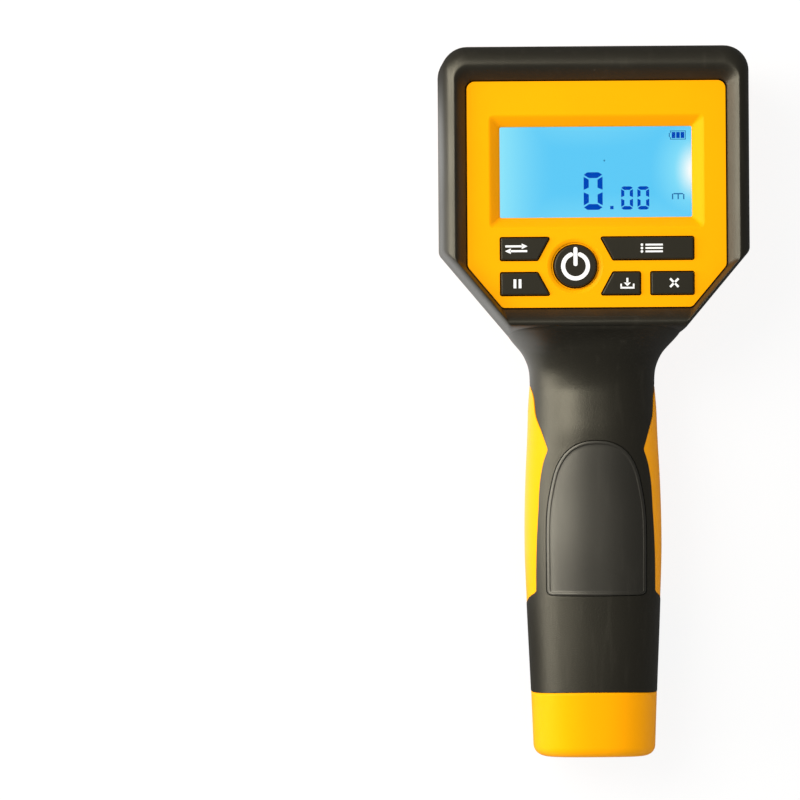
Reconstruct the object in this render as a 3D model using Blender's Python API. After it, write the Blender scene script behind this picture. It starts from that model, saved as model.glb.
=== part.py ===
"""Display handle of an electronic measuring wheel, lying on its back.

The head holds a screen and six keys, the grip below it holds two AA cells, and a socket in the
head's back takes the wheel's pole.  X runs across the handle, Y from its tail to its head and Z from
its back to the screen.  The origin is under the middle of its length, on the surface it lies on.
"""

import math
from collections import namedtuple

import bmesh
import bpy
import numpy as np

mm = 0.001

# Clearances
GAP = 0.3 * mm
KEY_GAP = 0.35 * mm
SCREW_GAP = 0.3 * mm

# Lengths along the handle, from the head's top to the tail's end
HEAD_LENGTH = 91.5 * mm
NECK_LENGTH = 35.5 * mm
GRIP_LENGTH = 49.5 * mm
SLEEVE_LENGTH = 28.2 * mm
TAIL_LENGTH = 20.4 * mm

# Head
HEAD_WIDTH = 98.0 * mm
HEAD_DEPTH = 50.0 * mm
HEAD_SIDE_LENGTH = 64.6 * mm
HEAD_FOOT_WIDTH = 52.8 * mm
HEAD_CORNER_RADIUS = 8.0 * mm
HEAD_WIDEST_HEIGHT = 21.0 * mm
WALL = 2.6 * mm
BUMPER_STEP = 0.4 * mm
FACE_RECESS = 3.5 * mm
LEDGE_THICKNESS = 2.5 * mm

# Handle
NECK_WIDTH = 39.9 * mm
GRIP_WIDTH = 44.0 * mm
SLEEVE_WIDTH = 40.6 * mm
TAIL_WIDTH = 39.0 * mm
GRIP_DEPTH = 39.6 * mm
NECK_SADDLE = 1.2 * mm
FINGER_HOLLOW = 4.6 * mm
HANDLE_MID_HEIGHT = 20.0 * mm
SECTION_POWER = 2.4
SECTION_STEPS = 30
RING_PITCH = 6.0 * mm
TAIL_ROUND = 4.0 * mm
TAIL_STEP = 0.35 * mm
SPIGOT_LENGTH = 6.0 * mm
SPIGOT_WALL = 1.8 * mm
TONGUE_LENGTH = 5.0 * mm
TONGUE_WALL = 1.8 * mm

# Yellow side panels, as the black edge's inset from the outline seen from the front
PANEL_WAIST_INSET = 6.2 * mm
PANEL_GRIP_INSET = 4.0 * mm
PANEL_FOOT_INSET = 2.9 * mm
PANEL_FOOT_SLOPE = 4.2 * mm

# Palm pad
PAD_WIDTH = 30.4 * mm
PAD_TOP_WIDTH = 18.7 * mm
PAD_TOP_RISE = 2.35 * mm
PAD_FOOT_MARGIN = 3.6 * mm
PAD_STRAIGHT_SHARE = 0.46
PAD_TOP_RADIUS = 9.3 * mm
PAD_KNEE_RADIUS = 20.0 * mm
PAD_CORNER_RADIUS = 2.6 * mm
PAD_GROOVE = 0.7 * mm
PAD_THICKNESS = 0.7 * mm
PAD_POCKET_DEPTH = 1.0 * mm

# Faceplate and window
PLATE_THICKNESS = 3.2 * mm
PLATE_CORNER_RADIUS = 2.5 * mm
WINDOW_SIDE_MARGIN = 10.6 * mm
WINDOW_HEIGHT = 28.3 * mm
WINDOW_TOP_MARGIN = 14.25 * mm
WINDOW_FRAME = 3.2 * mm
GLASS_THICKNESS = 1.5 * mm
GLASS_MARGIN = 2.0 * mm
GASKET_THICKNESS = 0.8 * mm
GASKET_WIDTH = 1.4 * mm
LCD_THICKNESS = 2.2 * mm
LCD_CONTACT_EDGE = 2.6 * mm
LED_LENGTH = 4.0 * mm
LED_WIDTH = 2.0 * mm

# Main board
BOARD_THICKNESS = 1.6 * mm
BOARD_DROP = 10.3 * mm
BOSS_RADIUS = 2.4 * mm
BOSS_EDGE = 0.1 * mm
CHIP_SIZE = 10.0 * mm
CHIP_THICKNESS = 1.6 * mm

# Keys
KEY_FIELD_MARGIN = 2.06 * mm
KEY_HEIGHT = 6.9 * mm
KEY_ROW_GAP = 4.0 * mm
KEY_ROWS_DROP = 15.4 * mm
KEY_PROUD = 0.8 * mm
KEY_BEVEL = 0.45 * mm
KEY_SLANT = 3.75 * mm
KEY_FLANGE = 0.7 * mm
KEY_FLANGE_THICKNESS = 1.0 * mm
KEY_TRAVEL = 0.8 * mm
STEM_RADIUS = 2.2 * mm
POWER_KEY_SHIFT = 0.2267
POWER_KEY_RADIUS = 6.6 * mm
POWER_KEY_REACH = 8.05 * mm
SAVE_KEY_REACH = 0.445
KEY_SIDE_GAP = 3.45 * mm
SWITCH_SIZE = 6.0 * mm
SWITCH_HEIGHT = 3.5 * mm
SWITCH_BORE_RADIUS = 2.0 * mm
PLUNGER_RADIUS = 1.7 * mm
PLUNGER_RISE = 1.3 * mm

# Battery bay
CELL_DIAMETER = 14.5 * mm
CELL_LENGTH = 50.5 * mm
CELL_PITCH = 16.0 * mm
CELL_HEIGHT = 17.5 * mm
CELL_NUB_LENGTH = 1.0 * mm
CELL_NUB_RADIUS = 2.7 * mm
SPRING_LENGTH = 6.0 * mm
SPRING_TURNS = 4
SPRING_WIRE = 0.7 * mm
CONTACT_THICKNESS = 0.5 * mm
CONTACT_REACH = 4.0 * mm
CONTACT_RISE = 4.5 * mm
TRAY_WALL = 2.0 * mm
BAY_FOOT_MARGIN = 6.5 * mm
DOOR_WIDTH = 30.0 * mm
DOOR_CORNER_RADIUS = 3.0 * mm
DOOR_THUMB_GAP = 1.3 * mm
DOOR_END_MARGIN = 1.0 * mm
DOOR_TAB_WIDTH = 9.0 * mm
DOOR_TAB_REACH = 2.1 * mm
DOOR_TAB_THICKNESS = 1.4 * mm
LEAD_RADIUS = 0.6 * mm

# Pole socket
SOCKET_DROP = 42.0 * mm
SOCKET_BORE = 25.4 * mm
SOCKET_BOARD_GAP = 3.0 * mm
SOCKET_WALL = 2.9 * mm
SOCKET_END = 2.4 * mm
SOCKET_FLANGE = 6.0 * mm
SOCKET_FLANGE_THICKNESS = 3.0 * mm
SOCKET_SEAT_HEIGHT = 7.0 * mm
JACK_RADIUS = 3.2 * mm

# Screws
SCREW_RADIUS = 1.3 * mm
SCREW_HEAD_RADIUS = 2.5 * mm
SCREW_HEAD_HEIGHT = 1.8 * mm
POST_RADIUS = 4.0 * mm
POST_LAP = 0.6 * mm
HOUSING_SCREW_LENGTH = 18.0 * mm
HOUSING_SCREW_DEPTH = 12.0 * mm
BOARD_SCREW_LENGTH = 7.0 * mm
SOCKET_SCREW_LENGTH = 6.0 * mm
LOWER_POST_RISE = 4.0 * mm
ROUND_STEPS = 24
SCREW_STEPS = 12

# Places along Y
END_Y = -(HEAD_LENGTH + NECK_LENGTH + GRIP_LENGTH + SLEEVE_LENGTH + TAIL_LENGTH) / 2
TAIL_Y = END_Y + TAIL_LENGTH
SLEEVE_Y = TAIL_Y + SLEEVE_LENGTH
WAIST_Y = SLEEVE_Y + GRIP_LENGTH
FOOT_Y = WAIST_Y + NECK_LENGTH
TOP_Y = FOOT_Y + HEAD_LENGTH

# Heights of the parts stacked under the screen
FACE_Z = HEAD_DEPTH - FACE_RECESS
PLATE_BACK_Z = FACE_Z - PLATE_THICKNESS
LEDGE_Z = PLATE_BACK_Z - GAP
GLASS_BACK_Z = LEDGE_Z - GLASS_THICKNESS
GASKET_BACK_Z = GLASS_BACK_Z - GAP - GASKET_THICKNESS
LCD_BACK_Z = GASKET_BACK_Z - GAP - LCD_THICKNESS
BOARD_TOP_Z = PLATE_BACK_Z - BOARD_DROP
BOARD_BACK_Z = BOARD_TOP_Z - BOARD_THICKNESS
SOCKET_DEPTH = BOARD_BACK_Z - SOCKET_BOARD_GAP - SOCKET_END

# The head's outline is inset by different amounts on its top, sides, diagonals and foot
Insets = namedtuple("Insets", "side top diagonal foot")
Level = namedtuple("Level", "height insets radius")

REAR_INSETS = Insets(4.0 * mm, 4.0 * mm, 3.0 * mm, 3.0 * mm)
REAR_EDGE_INSETS = Insets(1.3 * mm, 1.3 * mm, 1.0 * mm, 1.0 * mm)
REAR_EDGE_HEIGHT = 2.8 * mm
SHOULDER_INSETS = Insets(1.0 * mm, 0.6 * mm, 0.6 * mm, 2.2 * mm)
SHOULDER_DROP = 4.6 * mm
BULGE_INSETS = Insets(2.3 * mm, 2.6 * mm, 1.0 * mm, 2.9 * mm)
BULGE_DROP = 1.5 * mm
CREST_INSETS = Insets(4.4 * mm, 6.0 * mm, 1.6 * mm, 3.8 * mm)
CREST_INNER_INSETS = Insets(5.2 * mm, 7.6 * mm, 1.9 * mm, 5.0 * mm)
OPENING_INSETS = Insets(8.4 * mm, 11.7 * mm, 3.1 * mm, 8.7 * mm)
LEDGE_WIDTHS = Insets(2.5 * mm, 2.5 * mm, 0.9 * mm, 2.0 * mm)
BOARD_MARGINS = Insets(3.6 * mm, 2.0 * mm, 2.5 * mm, 3.3 * mm)

WINDOW_WIDTH = HEAD_WIDTH - 2 * (OPENING_INSETS.side + WINDOW_SIDE_MARGIN)

MATERIALS = {
    "black_rubber": ((0.021, 0.019, 0.015), 0.55, 0.0),
    "black_plastic": ((0.018, 0.016, 0.013), 0.4, 0.0),
    "yellow_plastic": ((0.95, 0.42, 0.005), 0.35, 0.0),
    "clear_plastic": ((0.75, 0.85, 0.9), 0.05, 0.0),
    "screen": ((0.12, 0.55, 0.9), 0.2, 0.0),
    "white_plastic": ((0.8, 0.8, 0.78), 0.4, 0.0),
    "circuit_board": ((0.01, 0.12, 0.04), 0.45, 0.0),
    "steel": ((0.6, 0.6, 0.6), 0.3, 1.0),
    "cell_wrap": ((0.03, 0.09, 0.12), 0.35, 0.0),
    "red_insulation": ((0.5, 0.02, 0.02), 0.5, 0.0),
}


# Outlines and profiles

def inset_sum(first, second):
    return Insets(*(a + b for a, b in zip(first, second)))


def even_insets(distance):
    return Insets(distance, distance, distance, distance)


def rounded(corners, radii, steps):
    """The polygon's points with an arc of the given radius in place of each corner."""
    points = []
    count = len(corners)
    for index, corner in enumerate(corners):
        here = np.array(corner)
        before = np.array(corners[index - 1]) - here
        after = np.array(corners[(index + 1) % count]) - here
        before /= np.linalg.norm(before)
        after /= np.linalg.norm(after)
        half_angle = math.acos(np.clip(before @ after, -1, 1)) / 2
        bisector = (before + after) / np.linalg.norm(before + after)
        centre = here + bisector * radii[index] / math.sin(half_angle)
        first = here + before * radii[index] / math.tan(half_angle) - centre
        last = here + after * radii[index] / math.tan(half_angle) - centre
        turn = math.pi - 2 * half_angle
        for step in range(steps + 1):
            part = step / steps
            swept = (math.sin((1 - part) * turn) * first + math.sin(part * turn) * last)
            points.append(tuple(centre + swept / math.sin(turn)))
    return points


def diagonal_line(inset):
    """Slope of the head's right diagonal, and its height over the foot's corner when moved in."""
    run = HEAD_WIDTH / 2 - HEAD_FOOT_WIDTH / 2
    rise = HEAD_LENGTH - HEAD_SIDE_LENGTH
    return rise / run, inset * math.hypot(run, rise) / run


def diagonal_x(y, inset):
    slope, shift = diagonal_line(inset)
    return HEAD_FOOT_WIDTH / 2 + (y - FOOT_Y - shift) / slope


def diagonal_y(x, inset):
    slope, shift = diagonal_line(inset)
    return FOOT_Y + (x - HEAD_FOOT_WIDTH / 2) * slope + shift


def head_corners(insets):
    """Corners of the head's outline, from the right of its foot, counter-clockwise."""
    side = HEAD_WIDTH / 2 - insets.side
    top = TOP_Y - insets.top
    foot = FOOT_Y + insets.foot
    inset = insets.diagonal
    right = [(diagonal_x(foot, inset), foot), (side, diagonal_y(side, inset)), (side, top)]
    left = [(-x, y) for x, y in reversed(right)]
    return right + left


def head_outline(insets, radius, steps=5):
    low = min(radius, 1.6 * mm)
    middle = min(radius, 3.0 * mm)
    return rounded(head_corners(insets), (low, middle, radius, radius, middle, low), steps)


def smooth_curve(stations, place):
    """Cubic through (place, value, ...) stations, which run downwards; the values at a place."""
    table = np.array(stations)
    places = table[:, 0]
    values = table[:, 1:]
    slopes = np.gradient(values, places, axis=0)
    here = np.clip(place, places[-1], places[0])
    index = min(int(np.searchsorted(-places, -here, side="right")) - 1, len(places) - 2)
    index = max(index, 0)
    span = places[index + 1] - places[index]
    t = (here - places[index]) / span
    start = (1 + 2 * t) * (1 - t) ** 2 * values[index] + t * (1 - t) ** 2 * span * slopes[index]
    end = t * t * (3 - 2 * t) * values[index + 1] + t * t * (t - 1) * span * slopes[index + 1]
    return start + end


def handle_stations():
    """Half width, front height and rear height of the handle at places from neck to tail."""
    neck_half = NECK_WIDTH / 2
    grip_half = GRIP_WIDTH / 2
    foot_half = HEAD_FOOT_WIDTH / 2 - 0.2 * mm
    neck_front = GRIP_DEPTH - NECK_SADDLE
    return (
        (FOOT_Y + 6.0 * mm, foot_half, neck_front + 6.6 * mm, 0.0),
        (FOOT_Y, foot_half, neck_front + 5.2 * mm, 0.0),
        (FOOT_Y - 0.12 * NECK_LENGTH, neck_half + 2.7 * mm, neck_front + 3.6 * mm, 0.8 * mm),
        (FOOT_Y - 0.23 * NECK_LENGTH, neck_half + 0.9 * mm, neck_front + 1.9 * mm, 0.4 * FINGER_HOLLOW),
        (FOOT_Y - 0.44 * NECK_LENGTH, neck_half, neck_front + 0.2 * mm, 0.83 * FINGER_HOLLOW),
        (FOOT_Y - 0.72 * NECK_LENGTH, neck_half + 0.5 * mm, neck_front, FINGER_HOLLOW),
        (WAIST_Y, grip_half - 0.9 * mm, neck_front + 0.2 * mm, 0.95 * FINGER_HOLLOW),
        (WAIST_Y - 0.31 * GRIP_LENGTH, grip_half - 0.2 * mm, GRIP_DEPTH - 0.4 * mm, 0.6 * FINGER_HOLLOW),
        (WAIST_Y - 0.62 * GRIP_LENGTH, grip_half, GRIP_DEPTH, 0.2 * FINGER_HOLLOW),
        (SLEEVE_Y, grip_half - 0.4 * mm, GRIP_DEPTH - 0.5 * mm, 0.1 * mm),
        (TAIL_Y, SLEEVE_WIDTH / 2, GRIP_DEPTH - 1.2 * mm, 0.0),
        (END_Y, TAIL_WIDTH / 2 - 0.2 * mm, GRIP_DEPTH - 1.9 * mm, 0.4 * mm),
    )


STATIONS = handle_stations()


def handle_section(place, inset=0.0):
    """Half width, front height and rear height at a place, with the surface moved in by inset."""
    half, front, rear = smooth_curve(STATIONS, place)
    return half - inset, front - inset, max(rear, 0.0) + inset


def section_height(place, x, inset=0.0, front=True):
    """Height of the handle's front or rear surface at (x, place)."""
    half, high, low = handle_section(place, inset)
    share = (1 - min(abs(x) / half, 1.0) ** SECTION_POWER) ** (1 / SECTION_POWER)
    end = high if front else low
    return HANDLE_MID_HEIGHT + (end - HANDLE_MID_HEIGHT) * share


def section_ring(place, inset, steps=SECTION_STEPS, shrink=0.0):
    """One superelliptic section of the handle, as points round it."""
    half, high, low = handle_section(place, inset + shrink)
    ring = []
    for step in range(steps):
        angle = math.tau * (step + 0.5) / steps
        across = math.copysign(abs(math.cos(angle)) ** (2 / SECTION_POWER), math.cos(angle))
        up = math.copysign(abs(math.sin(angle)) ** (2 / SECTION_POWER), math.sin(angle))
        reach = high - HANDLE_MID_HEIGHT if up > 0 else HANDLE_MID_HEIGHT - low
        ring.append((half * across, place, HANDLE_MID_HEIGHT + reach * up))
    return ring


def ring_places(start, end):
    """Places from start down to end, on one grid shared by every solid cut from the handle."""
    first = math.ceil((end - END_Y) / RING_PITCH + 0.01)
    last = math.floor((start - END_Y) / RING_PITCH - 0.01)
    inner = [END_Y + index * RING_PITCH for index in range(first, last + 1)]
    return [start] + inner[::-1] + [end]


# Solids

def add_object(name, vertices, faces):
    mesh = bpy.data.meshes.new(name)
    mesh.from_pydata(vertices, [], faces)
    work = bmesh.new()
    work.from_mesh(mesh)
    bmesh.ops.recalc_face_normals(work, faces=work.faces)
    work.to_mesh(mesh)
    work.free()
    made = bpy.data.objects.new(name, mesh)
    bpy.context.collection.objects.link(made)
    return made


def skin(name, rings, closed=False):
    """Solid through rings of equal count, capped at both ends or joined round to the first."""
    count = len(rings[0])
    vertices = [point for ring in rings for point in ring]
    faces = []
    for index in range(len(rings) if closed else len(rings) - 1):
        low = index * count
        high = (index + 1) % len(rings) * count
        for step in range(count):
            after = (step + 1) % count
            faces.append((low + step, low + after, high + after, high + step))
    if not closed:
        faces.append(tuple(range(count)))
        faces.append(tuple(range(len(vertices) - count, len(vertices))))
    return add_object(name, vertices, faces)


def prism(name, outline, low, high):
    return skin(name, [[(x, y, z) for x, y in outline] for z in (low, high)])


def side_prism(name, outline, half_width):
    """Solid from an outline of (y, z) points, drawn out to both sides along X."""
    return skin(name, [[(x, y, z) for y, z in outline] for x in (-half_width, half_width)])


def box(name, low, high):
    outline = [(low[0], low[1]), (high[0], low[1]), (high[0], high[1]), (low[0], high[1])]
    return prism(name, outline, low[2], high[2])


def turned(name, profile, centre, steps=ROUND_STEPS, closed=False):
    """Solid turned about Z at centre, from (radius, height) points."""
    rings = []
    for radius, height in profile:
        ring = []
        for step in range(steps):
            angle = math.tau * (step + 0.5) / steps
            x = centre[0] + radius * math.cos(angle)
            y = centre[1] + radius * math.sin(angle)
            ring.append((x, y, height))
        rings.append(ring)
    return skin(name, rings, closed)


def lying_cylinder(name, radius, x, z, start, end, steps=ROUND_STEPS):
    rings = []
    for y in (start, end):
        angles = [math.tau * (step + 0.5) / steps for step in range(steps)]
        rings.append([(x + radius * math.cos(a), y, z + radius * math.sin(a)) for a in angles])
    return skin(name, rings)


def combine(target, tool, operation):
    """Cut, join or intersect the target with the tool, which is used up."""
    modifier = target.modifiers.new(operation.title(), "BOOLEAN")
    modifier.operation = operation
    modifier.solver = "EXACT"
    modifier.object = tool
    bpy.context.view_layer.update()
    graph = bpy.context.evaluated_depsgraph_get()
    mesh = bpy.data.meshes.new_from_object(target.evaluated_get(graph))
    target.modifiers.clear()
    target.data = mesh
    bpy.data.objects.remove(tool, do_unlink=True)
    return target


def cut(target, *tools):
    for tool in tools:
        combine(target, tool, "DIFFERENCE")
    return target


def join(target, *tools):
    for tool in tools:
        combine(target, tool, "UNION")
    return target


def common(target, tool):
    return combine(target, tool, "INTERSECT")


def head_block(name, levels):
    rings = []
    for level in levels:
        outline = head_outline(level.insets, level.radius)
        rings.append([(x, y, level.height) for x, y in outline])
    return skin(name, rings)


def handle_loft(name, start, end, inset=0.0, steps=SECTION_STEPS):
    return skin(name, [section_ring(place, inset, steps) for place in ring_places(start, end)])


# Housings

def outer_body(step):
    """Head with its recess and handle, as one solid, with its sides moved in by step."""
    aside = even_insets(step)
    radius = HEAD_CORNER_RADIUS
    levels = (
        Level(0.0, inset_sum(REAR_INSETS, aside), radius - 3.0 * mm),
        Level(0.25 * REAR_EDGE_HEIGHT, inset_sum(REAR_EDGE_INSETS, even_insets(step + 0.9 * mm)), radius),
        Level(REAR_EDGE_HEIGHT, inset_sum(REAR_EDGE_INSETS, aside), radius),
        Level(HEAD_WIDEST_HEIGHT, aside, radius),
        Level(HEAD_DEPTH - SHOULDER_DROP, inset_sum(SHOULDER_INSETS, aside), radius),
        Level(HEAD_DEPTH - BULGE_DROP, inset_sum(BULGE_INSETS, aside), radius - 1.2 * mm),
        Level(HEAD_DEPTH, CREST_INSETS, radius - 2.6 * mm),
        Level(HEAD_DEPTH, CREST_INNER_INSETS, radius - 3.4 * mm),
        Level(FACE_Z, OPENING_INSETS, PLATE_CORNER_RADIUS),
        Level(LEDGE_Z, OPENING_INSETS, PLATE_CORNER_RADIUS),
    )
    body = head_block("outer_body", levels)
    return join(body, handle_loft("handle", FOOT_Y + 6 * mm, TAIL_Y - 1 * mm, step))


def cavity():
    """Hollow of the head and handle, with the opening through the ledge."""
    wall = even_insets(WALL)
    radius = HEAD_CORNER_RADIUS - WALL
    levels = (
        Level(WALL, inset_sum(REAR_EDGE_INSETS, wall), radius),
        Level(HEAD_WIDEST_HEIGHT, wall, radius),
        Level(LEDGE_Z - LEDGE_THICKNESS, inset_sum(SHOULDER_INSETS, wall), radius),
    )
    hollow = head_block("cavity", levels)
    through = inset_sum(OPENING_INSETS, LEDGE_WIDTHS)
    outline = head_outline(through, PLATE_CORNER_RADIUS)
    join(hollow, prism("through", outline, LEDGE_Z - LEDGE_THICKNESS - 1 * mm, LEDGE_Z + 1 * mm))
    return join(hollow, handle_loft("hollow", FOOT_Y + 7 * mm, TAIL_Y - 2 * mm, WALL, 24))


def seam_line():
    """The (y, z) line that parts the black front from the yellow back, from top to sleeve."""
    crown = FOOT_Y - 0.43 * NECK_LENGTH
    rise = FOOT_Y - 0.72 * NECK_LENGTH
    panel_foot = SLEEVE_Y + PANEL_FOOT_SLOPE
    insets = (
        (crown, 0.0),
        (crown - 0.1 * NECK_LENGTH, 0.16 * PANEL_WAIST_INSET),
        (rise, 0.36 * PANEL_WAIST_INSET),
        (rise - 0.11 * NECK_LENGTH, 0.64 * PANEL_WAIST_INSET),
        (WAIST_Y, PANEL_WAIST_INSET),
        (WAIST_Y - 0.15 * GRIP_LENGTH, 0.2 * PANEL_WAIST_INSET + 0.8 * PANEL_GRIP_INSET),
        (WAIST_Y - 0.4 * GRIP_LENGTH, PANEL_GRIP_INSET),
        (panel_foot, PANEL_FOOT_INSET),
    )
    line = [(TOP_Y + 10 * mm, HEAD_WIDEST_HEIGHT), (FOOT_Y, HEAD_WIDEST_HEIGHT)]
    for place in np.linspace(crown, panel_foot, 16):
        inset = max(smooth_curve(insets, place)[0], 0.0)
        half = handle_section(place)[0]
        line.append((place, section_height(place, half - inset)))
    return line + [(SLEEVE_Y, HANDLE_MID_HEIGHT), (SLEEVE_Y, -10 * mm)]


def shifted(line, distance):
    """The line moved to its left by distance, along the mean normal at each point."""
    points = np.array(line)
    steps = np.diff(points, axis=0)
    steps /= np.linalg.norm(steps, axis=1)[:, None]
    before = np.vstack([steps[:1], steps])
    after = np.vstack([steps, steps[-1:]])
    normals = np.stack([-(before + after)[:, 1], (before + after)[:, 0]], axis=1)
    normals /= np.linalg.norm(normals, axis=1)[:, None]
    aside = np.stack([-after[:, 1], after[:, 0]], axis=1)
    lengths = distance / np.clip(np.sum(normals * aside, axis=1), 0.5, 1)
    return [tuple(point) for point in points + normals * lengths[:, None]]


def front_region():
    """Everything in front of the seam, with the whole of the sleeve."""
    line = shifted(seam_line(), -GAP / 2)
    outline = line + [
        (TAIL_Y + GAP / 2, -10 * mm),
        (TAIL_Y + GAP / 2, HEAD_DEPTH + 10 * mm),
        (TOP_Y + 10 * mm, HEAD_DEPTH + 10 * mm),
    ]
    return side_prism("front_region", outline, HEAD_WIDTH)


def rear_region():
    line = shifted(seam_line(), GAP / 2)
    return side_prism("rear_region", line + [(TOP_Y + 10 * mm, -10 * mm)], HEAD_WIDTH)


def board_insets():
    return inset_sum(OPENING_INSETS, BOARD_MARGINS)


def post_places():
    """Centres of the four posts that the housing screws join."""
    x = HEAD_WIDTH / 2 - SHOULDER_INSETS.side - WALL + POST_LAP - POST_RADIUS
    upper = TOP_Y - OPENING_INSETS.top + 1.6 * mm
    lower = TOP_Y - HEAD_SIDE_LENGTH + LOWER_POST_RISE
    return [(side * x, y) for y in (upper, lower) for side in (-1, 1)]


def pad_outline(margin):
    """Outline of the palm pad, wider by margin: an arch with a flat foot."""
    foot = SLEEVE_Y + PAD_FOOT_MARGIN - margin
    top = WAIST_Y + PAD_TOP_RISE + margin
    knee = foot + PAD_STRAIGHT_SHARE * (top - foot)
    half = PAD_WIDTH / 2 + margin
    shoulder = PAD_TOP_WIDTH / 2 + margin
    right = ((half, foot), (half, knee), (shoulder, top))
    left = tuple((-x, y) for x, y in reversed(right))
    low = PAD_CORNER_RADIUS + margin
    high = PAD_TOP_RADIUS + margin
    return rounded(right + left, (low, PAD_KNEE_RADIUS, high, high, PAD_KNEE_RADIUS, low), 5)


def front_housing():
    housing = outer_body(0.0)
    housing.name = "front_housing"
    common(housing, front_region())
    cut(housing, cavity())
    top = LEDGE_Z - 0.6 * LEDGE_THICKNESS
    for index, place in enumerate(post_places()):
        low = HEAD_WIDEST_HEIGHT + GAP / 2
        profile = ((POST_RADIUS, low), (POST_RADIUS, top))
        join(housing, turned(f"post_{index}", profile, place, 16))
        depth = HOUSING_SCREW_DEPTH + HOUSING_SCREW_LENGTH + GAP
        bore = ((SCREW_RADIUS + SCREW_GAP, low - 1 * mm), (SCREW_RADIUS + SCREW_GAP, depth))
        cut(housing, turned(f"pilot_{index}", bore, place, SCREW_STEPS))
    pocket = prism("pocket", pad_outline(PAD_GROOVE), HANDLE_MID_HEIGHT, HEAD_DEPTH)
    cut(pocket, handle_loft("pocket_floor", FOOT_Y, TAIL_Y, PAD_POCKET_DEPTH))
    return cut(housing, pocket)


def palm_pad():
    pad = prism("palm_pad", pad_outline(0.0), HANDLE_MID_HEIGHT, HEAD_DEPTH)
    common(pad, handle_loft("pad_top", FOOT_Y, TAIL_Y))
    return cut(pad, handle_loft("pad_floor", FOOT_Y, TAIL_Y, PAD_THICKNESS))


def bay_span():
    """Ends of the battery bay along Y, foot first."""
    foot = SLEEVE_Y + BAY_FOOT_MARGIN
    slack = SPRING_LENGTH + 2 * CONTACT_THICKNESS + 2 * GAP
    return foot, foot + CELL_LENGTH + slack


def door_outline(margin, thumb_gap):
    foot, top = bay_span()
    foot = foot - DOOR_END_MARGIN - margin
    top = top + DOOR_END_MARGIN + margin - thumb_gap
    half = DOOR_WIDTH / 2 + margin
    corners = ((-half, foot), (half, foot), (half, top), (-half, top))
    radius = DOOR_CORNER_RADIUS + margin
    return rounded(corners, (radius,) * 4, 4)


def rear_tongue():
    """Rear shell's tongue that locates it inside the sleeve."""
    root_top = SLEEVE_Y + 2.5 * mm
    root_foot = SLEEVE_Y + GAP / 2
    inner = WALL + GAP
    end = SLEEVE_Y - TONGUE_LENGTH
    tongue = handle_loft("tongue", root_top, end, inner, 24)
    join(tongue, handle_loft("root", root_top, root_foot, WALL - 0.7 * mm, 24))
    cut(tongue, handle_loft("tongue_hollow", root_top + 1 * mm, end - 1 * mm, inner + TONGUE_WALL, 24))
    low = (-HEAD_WIDTH, SLEEVE_Y - 2 * TONGUE_LENGTH, -5 * mm)
    high = (HEAD_WIDTH, SLEEVE_Y + 2 * TONGUE_LENGTH, HANDLE_MID_HEIGHT - 4 * mm)
    return common(tongue, box("tongue_limit", low, high))


def rear_housing():
    housing = outer_body(BUMPER_STEP)
    housing.name = "rear_housing"
    common(housing, rear_region())
    cut(housing, cavity())
    centre = (0.0, TOP_Y - SOCKET_DROP)
    hole = SOCKET_BORE / 2 + SOCKET_WALL + GAP
    seat = hole + SOCKET_FLANGE
    seat_profile = ((seat, WALL - 1 * mm), (seat, SOCKET_SEAT_HEIGHT))
    join(housing, turned("seat", seat_profile, centre))
    cut(housing, turned("socket_hole", ((hole, -1 * mm), (hole, SOCKET_SEAT_HEIGHT + 1 * mm)), centre))
    for index, place in enumerate(post_places()):
        high = HEAD_WIDEST_HEIGHT - GAP / 2
        profile = ((POST_RADIUS, 1 * mm), (POST_RADIUS, high))
        join(housing, turned(f"post_{index}", profile, place, 16))
        wide = SCREW_HEAD_RADIUS + SCREW_GAP
        narrow = SCREW_RADIUS + SCREW_GAP
        step = HOUSING_SCREW_DEPTH + GAP
        bore = ((wide, -1 * mm), (wide, step), (narrow, step), (narrow, high + 1 * mm))
        cut(housing, turned(f"bore_{index}", bore, place, SCREW_STEPS))
    for index, place in enumerate(socket_screw_places()):
        bore = ((SCREW_RADIUS + SCREW_GAP, socket_screw_low() - GAP),
                (SCREW_RADIUS + SCREW_GAP, SOCKET_SEAT_HEIGHT + 1 * mm))
        cut(housing, turned(f"socket_bore_{index}", bore, place, SCREW_STEPS))
    join(housing, rear_tongue())
    door_hole = prism("door_hole", door_outline(GAP, 0.0), -5 * mm, HANDLE_MID_HEIGHT - 4 * mm)
    return cut(housing, door_hole)


def battery_door():
    """Curved cover with a tab under the housing's edge at its foot."""
    outline = door_outline(0.0, DOOR_THUMB_GAP)
    door = prism("battery_door", outline, -5 * mm, HANDLE_MID_HEIGHT - 4 * mm)
    common(door, handle_loft("door_outside", FOOT_Y, TAIL_Y, BUMPER_STEP))
    cut(door, handle_loft("door_inside", FOOT_Y + 1 * mm, TAIL_Y - 1 * mm, WALL, 24))
    foot = min(y for x, y in outline)
    half = DOOR_TAB_WIDTH / 2
    floor = section_height(foot - DOOR_TAB_REACH, half, WALL, front=False) + 2 * GAP
    low = (-half, foot - DOOR_TAB_REACH, floor)
    high = (half, foot + 2.5 * mm, floor + DOOR_TAB_THICKNESS)
    join(door, box("tab_root", (-half, foot + 0.4 * mm, WALL), (half, high[1], high[2])))
    return join(door, box("tab", low, high))


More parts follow.
